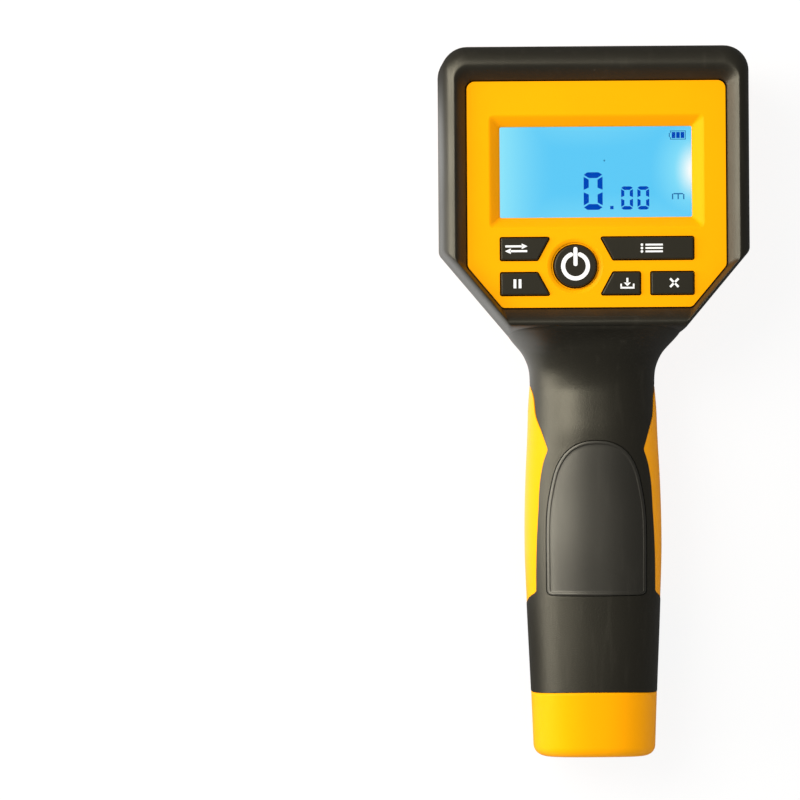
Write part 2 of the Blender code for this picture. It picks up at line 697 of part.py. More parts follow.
def tail_cap():
    """Hollow cap that closes the sleeve, with a rounded end and a spigot."""
    top = TAIL_Y - GAP / 2
    places = ring_places(top, END_Y + TAIL_ROUND)
    rings = [section_ring(place, TAIL_STEP) for place in places]
    for angle in (30, 55, 75, 90):
        bend = math.radians(angle)
        shrink = 0.9 * TAIL_ROUND * (1 - math.cos(bend))
        place = END_Y + TAIL_ROUND - TAIL_ROUND * math.sin(bend)
        rings.append(section_ring(place, TAIL_STEP, shrink=shrink))
    cap = skin("tail_cap", rings)
    end = TAIL_Y + SPIGOT_LENGTH
    join(cap, handle_loft("spigot", end, TAIL_Y - 2 * mm, WALL + GAP, 24))
    inner = WALL + GAP + SPIGOT_WALL
    return cut(cap, handle_loft("cap_hollow", end + 1 * mm, END_Y + TAIL_ROUND, inner, 24))


# Faceplate, window and screen

def window_y():
    """Middle of the window along Y."""
    return TOP_Y - OPENING_INSETS.top - WINDOW_TOP_MARGIN - WINDOW_HEIGHT / 2


def rectangle(width, height, y, radius=0.5 * mm, steps=2):
    half = width / 2
    tall = height / 2
    corners = ((-half, y - tall), (half, y - tall), (half, y + tall), (-half, y + tall))
    return rounded(corners, (radius,) * 4, steps)


def boss_places():
    """Centres of the four bosses under the faceplate that carry the board."""
    x = HEAD_WIDTH / 2 - board_insets().side - BOSS_RADIUS - BOSS_EDGE
    spread = WINDOW_HEIGHT / 2 + GLASS_MARGIN + BOSS_RADIUS + 1 * mm
    low = window_y() - spread
    high = window_y() + spread + LCD_CONTACT_EDGE
    return [(side * x, y) for y in (low, high) for side in (-1, 1)]


def faceplate():
    outline = head_outline(inset_sum(OPENING_INSETS, even_insets(GAP)), PLATE_CORNER_RADIUS)
    plate = prism("faceplate", outline, PLATE_BACK_Z, FACE_Z)
    over = 0.5 * mm
    slope = WINDOW_FRAME / PLATE_THICKNESS
    rings = []
    for z in (PLATE_BACK_Z - over, PLATE_BACK_Z, FACE_Z, FACE_Z + over):
        grow = 2 * max(z - PLATE_BACK_Z, 0.0) * slope
        outline = rectangle(WINDOW_WIDTH + grow, WINDOW_HEIGHT + grow, window_y())
        rings.append([(x, y, z) for x, y in outline])
    cut(plate, skin("window_hole", rings))
    dish = turned("dish", (
        (POWER_KEY_RADIUS + 0.8 * mm, FACE_Z - 0.5 * mm),
        (POWER_KEY_RADIUS + 2.1 * mm, FACE_Z + 0.1 * mm),
    ), power_key_place())
    cut(plate, dish)
    for name, outline in key_outlines(KEY_GAP).items():
        cut(plate, prism(f"{name}_hole", outline, PLATE_BACK_Z - over, FACE_Z + over))
    for index, place in enumerate(boss_places()):
        post = ((BOSS_RADIUS, BOARD_TOP_Z + GAP), (BOSS_RADIUS, PLATE_BACK_Z + 0.5 * mm))
        join(plate, turned(f"boss_{index}", post, place, 16))
        top = BOARD_BACK_Z + BOARD_SCREW_LENGTH
        bore = ((SCREW_RADIUS + SCREW_GAP, BOARD_TOP_Z), (SCREW_RADIUS + SCREW_GAP, top))
        cut(plate, turned(f"pilot_{index}", bore, place, SCREW_STEPS))
    return plate


def glass_size():
    return WINDOW_WIDTH + 2 * GLASS_MARGIN, WINDOW_HEIGHT + 2 * GLASS_MARGIN


def display_window():
    width, height = glass_size()
    return prism("display_window", rectangle(width, height, window_y()), GLASS_BACK_Z, LEDGE_Z)


def window_gasket():
    width, height = glass_size()
    top = GLASS_BACK_Z - GAP
    outer = rectangle(width, height, window_y())
    inner = rectangle(width - 2 * GASKET_WIDTH, height - 2 * GASKET_WIDTH, window_y())
    rings = []
    for outline, z in ((outer, GASKET_BACK_Z), (outer, top), (inner, top), (inner, GASKET_BACK_Z)):
        rings.append([(x, y, z) for x, y in outline])
    return skin("window_gasket", rings, closed=True)


def lcd_panel():
    width, height = glass_size()
    half = width / 2
    low = window_y() - height / 2
    high = window_y() + height / 2 + LCD_CONTACT_EDGE
    return box("lcd_panel", (-half, low, LCD_BACK_Z), (half, high, GASKET_BACK_Z - GAP))


def light_guide():
    width, height = glass_size()
    low = (-width / 2, window_y() - height / 2, BOARD_TOP_Z + GAP)
    high = (width / 2, window_y() + height / 2 - GAP, LCD_BACK_Z - GAP)
    return box("light_guide", low, high)


def backlight_led():
    side = glass_size()[0] / 2 + GAP
    low = (side, window_y() - LED_LENGTH / 2, BOARD_TOP_Z + GAP)
    high = (side + LED_WIDTH, window_y() + LED_LENGTH / 2, LCD_BACK_Z - GAP)
    return box("backlight_led", low, high)


def contact_strip():
    width, height = glass_size()
    start = window_y() + height / 2 + GAP
    low = (-0.44 * width, start, BOARD_TOP_Z + GAP)
    high = (0.44 * width, start + LCD_CONTACT_EDGE - 2 * GAP, LCD_BACK_Z - GAP)
    return box("contact_strip", low, high)


# Keys and switches

def keys_y():
    """Middle of the two rows of keys along Y."""
    return window_y() - WINDOW_HEIGHT / 2 - KEY_ROWS_DROP


def key_rows():
    """Near and far edges of the upper and the lower row along Y."""
    near = KEY_ROW_GAP / 2
    far = near + KEY_HEIGHT
    return (keys_y() + near, keys_y() + far), (keys_y() - near, keys_y() - far)


def key_field():
    """Half width of the rows of keys, which keeps off the ledge along the head's diagonals."""
    ledge = OPENING_INSETS.diagonal + LEDGE_WIDTHS.diagonal
    return diagonal_x(key_rows()[1][1], ledge) - KEY_FIELD_MARGIN


def power_key_place():
    return -POWER_KEY_SHIFT * key_field(), keys_y()


def key_corners():
    """Corners of the four-sided keys, counter-clockwise; the ends beside the power key slant."""
    right = key_field()
    left = -right
    upper, lower = key_rows()
    centre = power_key_place()[0]
    near = (centre - POWER_KEY_REACH - KEY_SLANT, centre + POWER_KEY_REACH + KEY_SLANT)
    far = (centre - POWER_KEY_REACH, centre + POWER_KEY_REACH)
    save_x = SAVE_KEY_REACH * right
    clear_x = save_x + KEY_SIDE_GAP
    return {
        "units_key": ((left, upper[0]), (near[0], upper[0]), (far[0], upper[1]), (left, upper[1])),
        "hold_key": ((left, lower[1]), (far[0], lower[1]), (near[0], lower[0]), (left, lower[0])),
        "memory_key": ((near[1], upper[0]), (right, upper[0]), (right, upper[1]), (far[1], upper[1])),
        "save_key": ((far[1], lower[1]), (save_x, lower[1]), (save_x, lower[0]), (near[1], lower[0])),
        "clear_key": ((clear_x, lower[1]), (right, lower[1]), (right, lower[0]), (clear_x, lower[0])),
    }


def grown(corners, margin):
    """The polygon with every side moved out by margin."""
    points = np.array(corners)
    before = points - np.roll(points, 1, axis=0)
    after = np.roll(points, -1, axis=0) - points
    before /= np.linalg.norm(before, axis=1)[:, None]
    after /= np.linalg.norm(after, axis=1)[:, None]
    cross = before[:, 0] * after[:, 1] - before[:, 1] * after[:, 0]
    return [tuple(point) for point in points + (before - after) * (margin / cross)[:, None]]


def circle(centre, radius, steps=ROUND_STEPS):
    points = []
    for step in range(steps):
        angle = math.tau * (step + 0.5) / steps
        points.append((centre[0] + radius * math.cos(angle), centre[1] + radius * math.sin(angle)))
    return points


def key_outlines(margin):
    outlines = {}
    for name, corners in key_corners().items():
        radius = max(0.5 * mm + margin, 0.1 * mm)
        outlines[name] = rounded(grown(corners, margin), (radius,) * 4, 2)
    outlines["power_key"] = circle(power_key_place(), POWER_KEY_RADIUS + margin)
    return outlines


def key_centres():
    centres = {name: tuple(np.mean(corners, axis=0)) for name, corners in key_corners().items()}
    centres["power_key"] = power_key_place()
    return centres


def keys():
    """Each key: a bevelled cap, a flange behind the faceplate and a stem to its switch."""
    flange_top = PLATE_BACK_Z - GAP
    flange_low = flange_top - KEY_FLANGE_THICKNESS
    top = FACE_Z + KEY_PROUD
    bevelled = key_outlines(-KEY_BEVEL)
    flanges = key_outlines(KEY_FLANGE)
    made = []
    for name, outline in key_outlines(0.0).items():
        levels = (
            (flanges[name], flange_low),
            (flanges[name], flange_top),
            (outline, flange_top),
            (outline, top - KEY_BEVEL),
            (bevelled[name], top),
        )
        key = skin(name, [[(x, y, z) for x, y in points] for points, z in levels])
        stem = ((STEM_RADIUS, plunger_top() + GAP), (STEM_RADIUS, flange_low + 0.5 * mm))
        made.append(join(key, turned("stem", stem, key_centres()[name], 16)))
    return made


def switch_top():
    return BOARD_TOP_Z + GAP + SWITCH_HEIGHT


def plunger_top():
    return switch_top() + PLUNGER_RISE


def switches():
    made = []
    for name, (x, y) in key_centres().items():
        base = name.replace("_key", "")
        half = SWITCH_SIZE / 2
        low = BOARD_TOP_Z + GAP
        body = box(f"{base}_switch", (x - half, y - half, low), (x + half, y + half, switch_top()))
        floor = switch_top() - KEY_TRAVEL - 1.6 * mm
        well = ((SWITCH_BORE_RADIUS, floor), (SWITCH_BORE_RADIUS, switch_top() + 1 * mm))
        made.append(cut(body, turned("well", well, (x, y), 16)))
        profile = ((PLUNGER_RADIUS, floor + KEY_TRAVEL + GAP), (PLUNGER_RADIUS, plunger_top()))
        made.append(turned(f"{base}_plunger", profile, (x, y), 16))
    return made


# Board

def main_board():
    board = prism("main_board", head_outline(board_insets(), 1.5 * mm, 2), BOARD_BACK_Z, BOARD_TOP_Z)
    for index, place in enumerate(boss_places()):
        radius = SCREW_RADIUS + SCREW_GAP
        hole = ((radius, BOARD_BACK_Z - 1 * mm), (radius, BOARD_TOP_Z + 1 * mm))
        cut(board, turned(f"hole_{index}", hole, place, SCREW_STEPS))
    return board


def controller_chip():
    half = CHIP_SIZE / 2
    top = BOARD_BACK_Z - GAP
    x = 0.4 * HEAD_WIDTH / 2
    y = keys_y() - 2 * mm
    return box("controller_chip", (x - half, y - half, top - CHIP_THICKNESS), (x + half, y + half, top))


def sensor_jack():
    centre = (0.0, TOP_Y - SOCKET_DROP)
    profile = ((JACK_RADIUS, SOCKET_DEPTH), (JACK_RADIUS, BOARD_BACK_Z - GAP))
    return turned("sensor_jack", profile, centre, 16)


# Pole socket

def socket_screw_places():
    reach = SOCKET_BORE / 2 + SOCKET_WALL + SOCKET_FLANGE / 2
    y = TOP_Y - SOCKET_DROP
    return [(-reach, y), (reach, y)]


def socket_screw_low():
    return SOCKET_SEAT_HEIGHT + GAP + SOCKET_FLANGE_THICKNESS + GAP - SOCKET_SCREW_LENGTH


def pole_socket():
    centre = (0.0, TOP_Y - SOCKET_DROP)
    bore = SOCKET_BORE / 2
    outer = bore + SOCKET_WALL
    flange_low = SOCKET_SEAT_HEIGHT + GAP
    flange_top = flange_low + SOCKET_FLANGE_THICKNESS
    top = SOCKET_DEPTH + SOCKET_END
    jack = JACK_RADIUS + GAP
    profile = (
        (bore, 0.0),
        (outer, 0.0),
        (outer, flange_low),
        (outer + SOCKET_FLANGE, flange_low),
        (outer + SOCKET_FLANGE, flange_top),
        (outer, flange_top),
        (outer, top),
        (jack, top),
        (jack, SOCKET_DEPTH),
        (bore, SOCKET_DEPTH),
    )
    socket = turned("pole_socket", profile, centre, closed=True)
    for index, place in enumerate(socket_screw_places()):
        radius = SCREW_RADIUS + SCREW_GAP
        hole = ((radius, flange_low - 1 * mm), (radius, flange_top + 1 * mm))
        cut(socket, turned(f"hole_{index}", hole, place, SCREW_STEPS))
    return socket


# Battery bay

def cell_x():
    return CELL_PITCH / 2


def battery_tray():
    """Cradle over the cells, whose end walls hold the contacts."""
    foot, top = bay_span()
    radius = CELL_DIAMETER / 2 + GAP
    roof = CELL_HEIGHT + radius + TRAY_WALL
    lap = 0.4 * TRAY_WALL
    low = (-HEAD_WIDTH, foot - lap, CELL_HEIGHT + 1.5 * mm)
    tray = box("battery_tray", low, (HEAD_WIDTH, top + lap, roof))
    for side in (-1, 1):
        ends = (foot - TRAY_WALL, top + TRAY_WALL)
        cut(tray, lying_cylinder("channel", radius, side * cell_x(), CELL_HEIGHT, *ends))
    half = cell_x() + CELL_DIAMETER / 2
    for low, high in ((foot - TRAY_WALL, foot), (top, top + TRAY_WALL)):
        join(tray, box("end_wall", (-half, low, CELL_HEIGHT - 6.5 * mm), (half, high, roof - 1 * mm)))
    slot = CONTACT_THICKNESS + 2 * GAP
    reach = cell_x() + CONTACT_REACH + GAP
    rise = CELL_HEIGHT + CONTACT_RISE + GAP
    for low, high in ((foot, foot + slot), (top - slot, top)):
        cut(tray, box("contact_slot", (-reach, low, 0.0), (reach, high, rise)))
    common(tray, handle_loft("tray_limit", FOOT_Y, TAIL_Y, WALL + GAP, 24))
    for side in (-1, 1):
        ends = (top - 1 * mm, top + TRAY_WALL + 1 * mm)
        radius = LEAD_RADIUS + GAP
        cut(tray, lying_cylinder("lead_hole", radius, side * cell_x(), lead_height(), *ends, 8))
    return tray


def cells():
    """Two AA cells, head to tail, each with its nub."""
    foot, top = bay_span()
    made = []
    for index, side in enumerate((-1, 1)):
        x = side * cell_x()
        start = foot + CONTACT_THICKNESS + GAP + (SPRING_LENGTH if side < 0 else 0.0)
        end = start + CELL_LENGTH
        nub_low, nub_high = (end - CELL_NUB_LENGTH, end) if side < 0 else (start, start + CELL_NUB_LENGTH)
        if side < 0:
            end = nub_low
        else:
            start = nub_high
        cell = lying_cylinder(f"battery_{index + 1}", CELL_DIAMETER / 2, x, CELL_HEIGHT, start, end)
        reach = 0.5 * mm
        ends = (nub_low - reach, nub_high) if side < 0 else (nub_low, nub_high + reach)
        nub = lying_cylinder("nub", CELL_NUB_RADIUS, x, CELL_HEIGHT, *ends, SCREW_STEPS)
        made.append(join(cell, nub))
    return made


def contact_plates():
    """One plate joins the cells at the foot; two stand apart at the head end."""
    foot, top = bay_span()
    low = CELL_HEIGHT - CONTACT_REACH
    high = CELL_HEIGHT + CONTACT_RISE
    reach = cell_x() + CONTACT_REACH
    near = cell_x() - CONTACT_REACH
    inner = GAP / 2
    front = foot + inner
    bridge = box("bridge_contact", (-reach, front, low), (reach, front + CONTACT_THICKNESS, high))
    back = top - inner - CONTACT_THICKNESS
    positive = box("positive_contact", (-reach, back, low), (-near, top - inner, high))
    negative = box("negative_contact", (near, back, low), (reach, top - inner, high))
    return [bridge, positive, negative]


def coil_spring(name, x, start, end):
    """Cone spring between a plate at start and a cell's flat end."""
    inset = SPRING_WIRE / 2
    direction = 1 if end > start else -1
    first = start + direction * (inset + GAP / 2)
    last = end - direction * (inset + GAP / 2)
    steps = 9 * SPRING_TURNS
    points = []
    for step in range(steps + 1):
        part = step / steps
        angle = math.tau * SPRING_TURNS * part
        radius = (3.6 - 1.4 * part) * mm
        y = first + (last - first) * part
        points.append((x + radius * math.cos(angle), y, CELL_HEIGHT + radius * math.sin(angle)))
    return wire(name, points, inset, 0)


def wire(name, points, radius, resolution):
    curve = bpy.data.curves.new(name, "CURVE")
    curve.dimensions = "3D"
    curve.bevel_depth = radius
    curve.bevel_resolution = resolution
    curve.resolution_u = 1
    curve.render_resolution_u = 0
    curve.use_fill_caps = True
    spline = curve.splines.new("POLY")
    spline.points.add(len(points) - 1)
    for point, place in zip(spline.points, points):
        point.co = (*place, 1.0)
    made = bpy.data.objects.new(name, curve)
    bpy.context.collection.objects.link(made)
    return made


def springs():
    foot, top = bay_span()
    foot_plate = foot + GAP / 2 + CONTACT_THICKNESS
    top_plate = top - GAP / 2 - CONTACT_THICKNESS
    cell_foot = foot + CONTACT_THICKNESS + GAP + SPRING_LENGTH
    cell_top = foot + CONTACT_THICKNESS + GAP + CELL_LENGTH
    return [
        coil_spring("spring_1", -cell_x(), foot_plate, cell_foot),
        coil_spring("spring_2", cell_x(), top_plate, cell_top),
    ]


def lead_height():
    return CELL_HEIGHT + 3 * mm


def leads():
    """Red and black leads from the contacts up to the back of the board."""
    made = []
    start = bay_span()[1] + GAP
    board_y = TOP_Y - HEAD_LENGTH + board_insets().foot + 3 * mm
    end_z = BOARD_BACK_Z - GAP
    for name, side in (("red_lead", -1), ("black_lead", 1)):
        x = side * cell_x()
        level = lead_height()
        reach = board_y - start
        route = (
            (start, level),
            (start + 0.3 * reach, level),
            (start + 0.65 * reach, level + 1 * mm),
            (board_y - 2 * mm, 0.6 * level + 0.4 * end_z),
            (board_y, end_z - 2 * mm),
            (board_y, end_z),
        )
        points = [(x, y, z) for y, z in curve_points(route, 20)]
        made.append(wire(name, points, LEAD_RADIUS, 1))
    return made


def curve_points(route, count):
    """Points along a smooth curve through the route's own points."""
    knots = np.array(route)
    spans = np.linalg.norm(np.diff(knots, axis=0), axis=1)
    along = np.concatenate([[0.0], np.cumsum(spans)])
    table = [(-length, *knot) for length, knot in zip(along, knots)]
    return [tuple(smooth_curve(table, -length)) for length in np.linspace(0, along[-1], count)]


# Screws

def screw(name, place, head_z, length, upward=True):
    """Pan-head screw whose head's bearing face is at head_z."""
    way = 1 if upward else -1
    profile = (
        (0.7 * SCREW_HEAD_RADIUS, head_z - way * SCREW_HEAD_HEIGHT),
        (SCREW_HEAD_RADIUS, head_z - way * 0.55 * SCREW_HEAD_HEIGHT),
        (SCREW_HEAD_RADIUS, head_z),
        (SCREW_RADIUS, head_z),
        (SCREW_RADIUS, head_z + way * (length - 1 * mm)),
        (0.4 * SCREW_RADIUS, head_z + way * length),
    )
    return turned(name, profile, place, SCREW_STEPS)


def screws():
    made = []
    for index, place in enumerate(post_places()):
        made.append(screw(f"housing_screw_{index + 1}", place, HOUSING_SCREW_DEPTH, HOUSING_SCREW_LENGTH))
    for index, place in enumerate(boss_places()):
        length = BOARD_SCREW_LENGTH - GAP
        made.append(screw(f"board_screw_{index + 1}", place, BOARD_BACK_Z - GAP, length))
    head = SOCKET_SEAT_HEIGHT + 2 * GAP + SOCKET_FLANGE_THICKNESS
    for index, place in enumerate(socket_screw_places()):
        made.append(screw(f"socket_screw_{index + 1}", place, head, SOCKET_SCREW_LENGTH, upward=False))
    return made


# Materials and assembly

def make_materials():
    made = {}
    for name, (colour, roughness, metallic) in MATERIALS.items():
        material = bpy.data.materials.new(name)
        material.use_nodes = True
        shader = material.node_tree.nodes["Principled BSDF"]
        shader.inputs["Base Color"].default_value = (*colour, 1.0)
        shader.inputs["Roughness"].default_value = roughness
        shader.inputs["Metallic"].default_value = metallic
        made[name] = material
    return made


def paint(objects, material):
    for item in objects:
        item.data.materials.clear()
        item.data.materials.append(material)


def shade(item):
    if item.type == "MESH":
        item.data.shade_smooth()
        item.data.set_sharp_from_angle(angle=math.radians(35))


def main():
    for item in list(bpy.data.objects):
        bpy.data.objects.remove(item, do_unlink=True)
    looks = make_materials()
    paint([front_housing(), palm_pad(), window_gasket()], looks["black_rubber"])
    paint([*keys(), battery_tray(), *switches(), controller_chip(), sensor_jack(), pole_socket()],
          looks["black_plastic"])
    paint([rear_housing(), tail_cap(), faceplate(), battery_door()], looks["yellow_plastic"])
    paint([display_window()], looks["clear_plastic"])
    paint([lcd_panel()], looks["screen"])
    paint([light_guide(), backlight_led(), contact_strip()], looks["white_plastic"])
    paint([main_board()], looks["circuit_board"])
    paint([*contact_plates(), *springs(), *screws()], looks["steel"])
    paint(cells(), looks["cell_wrap"])
    red, black = leads()
    paint([red], looks["red_insulation"])
    paint([black], looks["black_plastic"])
    for item in bpy.data.objects:
        shade(item)


main()
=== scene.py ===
"""Looks of the measuring wheel's display handle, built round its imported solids.

Run as a script, it loads the solids, makes each visible piece with its finish, and sets up the floor,
the lights and the camera.  Lengths are in metres, and tables in millimetres say so.  X runs across the
handle, Y from its tail to its head and Z from its back to the screen.
"""

import math

import bmesh
import bpy
import numpy as np
from bpy.props import FloatProperty, FloatVectorProperty, PointerProperty
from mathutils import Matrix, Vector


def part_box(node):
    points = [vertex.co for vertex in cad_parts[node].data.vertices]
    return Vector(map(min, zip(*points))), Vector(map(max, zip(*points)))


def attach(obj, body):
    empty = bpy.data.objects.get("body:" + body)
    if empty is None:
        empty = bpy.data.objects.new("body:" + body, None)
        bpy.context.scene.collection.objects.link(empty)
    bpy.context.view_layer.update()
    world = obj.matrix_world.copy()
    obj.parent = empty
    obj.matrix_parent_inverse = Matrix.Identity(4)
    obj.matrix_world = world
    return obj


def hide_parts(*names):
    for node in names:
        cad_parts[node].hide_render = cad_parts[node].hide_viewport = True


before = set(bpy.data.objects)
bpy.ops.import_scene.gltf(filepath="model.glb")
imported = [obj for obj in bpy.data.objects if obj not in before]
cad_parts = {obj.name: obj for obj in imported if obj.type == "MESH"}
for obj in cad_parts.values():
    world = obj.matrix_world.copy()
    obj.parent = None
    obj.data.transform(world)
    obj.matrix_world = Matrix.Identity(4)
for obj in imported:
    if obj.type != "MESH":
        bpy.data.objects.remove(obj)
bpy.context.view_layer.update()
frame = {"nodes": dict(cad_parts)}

bl_info = {
    "name": "Measuring wheel display handle",
    "version": (1, 0, 0),
    "blender": (4, 5, 0),
    "location": "3D View > Sidebar > Handle",
    "description": "Makes the looks of a measuring wheel's display handle round its solids",
    "category": "Object",
}

mm = 0.001

# Places along Y
END_Y = -112.55 * mm
TAIL_Y = -92.15 * mm
SLEEVE_Y = -63.95 * mm
WAIST_Y = -14.45 * mm
FOOT_Y = 21.05 * mm
TOP_Y = 112.55 * mm

# Head's outline, and the left, right, foot and top of the way from the head into the handle
HEAD_WIDTH = 98.0 * mm
HEAD_SIDE_LENGTH = 64.6 * mm
HEAD_FOOT_WIDTH = 52.8 * mm
PASSAGE = (-17 * mm, 17 * mm, 10 * mm, 27 * mm)
RIM_FOOT_Z = 21.15 * mm
PAN_TOP_Z = 20.85 * mm

# Handle's sections
MID_Z = 20.0 * mm
BUMPER_STEP = 0.4 * mm
SHELL_STEP = 0.08 * mm
SEAM_GAP = 0.14 * mm
WALL = 2.6 * mm
TAIL_ROUND = 3.0 * mm
END_DOME = 1.25 * mm
DOME_REACH = 18.0 * mm

# Screen and keys
FACE_Z = 46.5 * mm
PLATE_BACK_Z = 43.3 * mm
WINDOW_Y = 72.45 * mm
WINDOW_SIZE = (60.0 * mm, 28.3 * mm)
PANE_SIZE = (64.0 * mm, 32.3 * mm)
LCD_TOP_Z = 40.1 * mm
KEY_TOP_Z = 47.3 * mm
KEY_FOOT_Z = 42.0 * mm
KEY_NAMES = ("units", "hold", "memory", "save", "clear", "power")
POWER_KEY_PLACE = (-6.8 * mm, 42.9 * mm)
POWER_KEY_RADIUS = 6.6 * mm

# Back
SOCKET_PLACE = (0.0, 70.55 * mm)
SOCKET_HOLE_RADIUS = 15.9 * mm
POST_PLACES = np.array([(-42.0, 102.45), (42.0, 102.45), (-42.0, 51.95), (42.0, 51.95)]) * mm
DOOR_HALF_WIDTH = 15.0 * mm
DOOR_FOOT_Y = -58.45 * mm
DOOR_TOP_Y = 0.35 * mm
HOLE_TOP_Y = 1.65 * mm

# Light, floor and camera
WARM_SHEEN = (1.0, 0.94, 0.74)
WARM_LIGHT = (1.0, 0.975, 0.93)
WORLD_LEVEL = 0.60
WORLD_MIRRORED = 0.10
FLOOR_REACH = 3.0
FLOOR_Z = -0.1 * mm
FLOOR_WHITENESS = 0.88
FLOOR_MIRRORED = 0.12
FLOOR_LIT_FOOT_Y = -70 * mm
FLOOR_LIT_TOP_Y = 110 * mm
CAMERA_PLACE = (-61.7 * mm, 1.6 * mm, 850 * mm)
CAMERA_LEAN = -0.4
CAMERA_LENS = 116.1


# Meshes from arrays

def make_mesh(name, vertices, faces):
    """Smooth object with the given array of vertices (..., 3) and list or array of faces."""
    mesh = bpy.data.meshes.new(name)
    places = np.asarray(vertices, dtype=float).reshape(-1, 3)
    mesh.from_pydata(places.tolist(), [], [tuple(face) for face in faces])
    mesh.update()
    mesh.shade_smooth()
    return in_scene(name, mesh)


def in_scene(name, mesh):
    """Object of a mesh, linked to the scene."""
    made = bpy.data.objects.new(name, mesh)
    bpy.context.collection.objects.link(made)
    return made


def grid_faces(rows, columns, around=False):
    """Quads of a (rows, columns) grid of vertices, joined round from the last column when around."""
    index = np.arange(rows * columns).reshape(rows, columns)
    if around:
        index = np.concatenate([index, index[:, :1]], axis=1)
    corners = (index[:-1, :-1], index[:-1, 1:], index[1:, 1:], index[1:, :-1])
    return np.stack(corners, axis=-1).reshape(-1, 4)


def loft(name, rings, closed=False):
    """Closed solid through an array of rings (m, n, 3): capped at both ends, or joined in a loop."""
    rows, columns = rings.shape[:2]
    if closed:
        faces = grid_faces(rows + 1, columns, around=True) % (rows * columns)
    else:
        last = (rows - 1) * columns
        faces = [*grid_faces(rows, columns, around=True), range(columns), range(last, last + columns)]
    return outward(make_mesh(name, rings, faces))


def prism(name, outline, low, high):
    """Closed prism of one outline (n, 2) between two heights."""
    return loft(name, raised(np.stack([outline, outline]), (low, high)))


def outward(item):
    """Merges doubles and turns every face outwards."""
    work = bmesh.new()
    work.from_mesh(item.data)
    bmesh.ops.remove_doubles(work, verts=work.verts, dist=1e-7)
    bmesh.ops.recalc_face_normals(work, faces=work.faces)
    work.to_mesh(item.data)
    work.free()
    return item


def facing(item, side):
    """Turns a skin over when its outermost face at the front (side 1) or back (-1) points inwards."""
    outermost = max(item.data.polygons, key=lambda face: face.center.z * side)
    if outermost.normal.z * side < 0:
        item.data.flip_normals()
    return item


def sharpen(item, degrees):
    """Smooth shading, with edges sharper than the angle left crisp."""
    item.data.shade_smooth()
    item.data.set_sharp_from_angle(angle=math.radians(degrees))
    return item


def modified(item, kind, **settings):
    """Gives the piece a modifier with its settings, and puts it into the mesh."""
    step = item.modifiers.new(kind.title(), kind)
    for name, value in settings.items():
        setattr(step, name, value)
    bpy.context.view_layer.update()
    graph = bpy.context.evaluated_depsgraph_get()
    mesh = bpy.data.meshes.new_from_object(item.evaluated_get(graph))
    item.modifiers.clear()
    item.data = mesh
    return item


def combine(item, tool, operation="DIFFERENCE"):
    """Cuts, joins or intersects the piece with the tool, which is used up."""
    modified(item, "BOOLEAN", operation=operation, solver="EXACT", object=tool)
    bpy.data.objects.remove(tool, do_unlink=True)
    return item


def thicken(item, depth):
    """Gives a skin its wall, inwards from its outer face."""
    return modified(item, "SOLIDIFY", thickness=depth, offset=-1.0, use_even_offset=True)


def join_pieces(name, items):
    """One object from several, with every vertex where it is."""
    work = bmesh.new()
    for item in items:
        work.from_mesh(item.data)
    mesh = bpy.data.meshes.new(name)
    work.to_mesh(mesh)
    work.free()
    for item in items:
        bpy.data.objects.remove(item, do_unlink=True)
    mesh.shade_smooth()
    return in_scene(name, mesh)


# Curves and outlines

def full_turn(steps, shift=0.5):
    """Angles of a whole turn in even steps, the first one shift steps on from +X."""
    return 2 * np.pi * (np.arange(steps) + shift) / steps


def directions(angles):
    """Unit vectors (n, 2) at angles from +X."""
    return np.stack([np.cos(angles), np.sin(angles)], axis=-1)


def unit(vectors):
    """Vectors (..., k) divided by their lengths."""
    return vectors / np.linalg.norm(vectors, axis=-1, keepdims=True)


def raised(flat, z):
    """Outlines (..., n, 2) with their height as third value, one z for each outline."""
    heights = np.asarray(z, dtype=float)[..., None, None]
    return np.concatenate([flat, np.broadcast_to(heights, flat.shape[:-1] + (1,))], axis=-1)


def box_corners(left, right, foot, top):
    """Corners of an upright rectangle, counter-clockwise."""
    return np.array([(left, foot), (right, foot), (right, top), (left, top)], dtype=float)


def cut_corners(table, rounds=3):
    """Rounds a polyline: each side keeps its points at one and three quarters, again and again."""
    table = np.asarray(table, dtype=float)
    for _ in range(rounds):
        near = 0.75 * table[:-1] + 0.25 * table[1:]
        far = 0.25 * table[:-1] + 0.75 * table[1:]
        inner = np.stack([near, far], axis=1).reshape(-1, table.shape[1])
        table = np.concatenate([table[:1], inner, table[-1:]])
    return table


def rounded(corners, radii, steps):
    """Polygons (m, k, 2) with an arc of radii (m, k) at each corner, as points (m, k * steps, 2).

    Each arc is swept between its two tangent points about the centre on the corner's bisector.
    """
    radii = radii[..., None]
    before = unit(np.roll(corners, 1, axis=1) - corners)
    after = unit(np.roll(corners, -1, axis=1) - corners)
    half = np.arccos(np.clip(np.sum(before * after, axis=-1, keepdims=True), -1, 1)) / 2
    centre = corners + unit(before + after) * radii / np.sin(half)
    first = corners + before * radii / np.tan(half) - centre
    last = corners + after * radii / np.tan(half) - centre
    turn = (np.pi - 2 * half)[:, :, None, :]
    part = np.linspace(0, 1, steps)[None, None, :, None]
    swept = np.sin((1 - part) * turn) * first[:, :, None] + np.sin(part * turn) * last[:, :, None]
    points = centre[:, :, None] + swept / np.sin(turn)
    return points.reshape(corners.shape[0], -1, 2)


def rounded_polygon(corners, radius, steps):
    """One polygon (k, 2) with an arc of the radius at each corner."""
    return rounded(corners[None], np.full((1, len(corners)), radius), steps)[0]


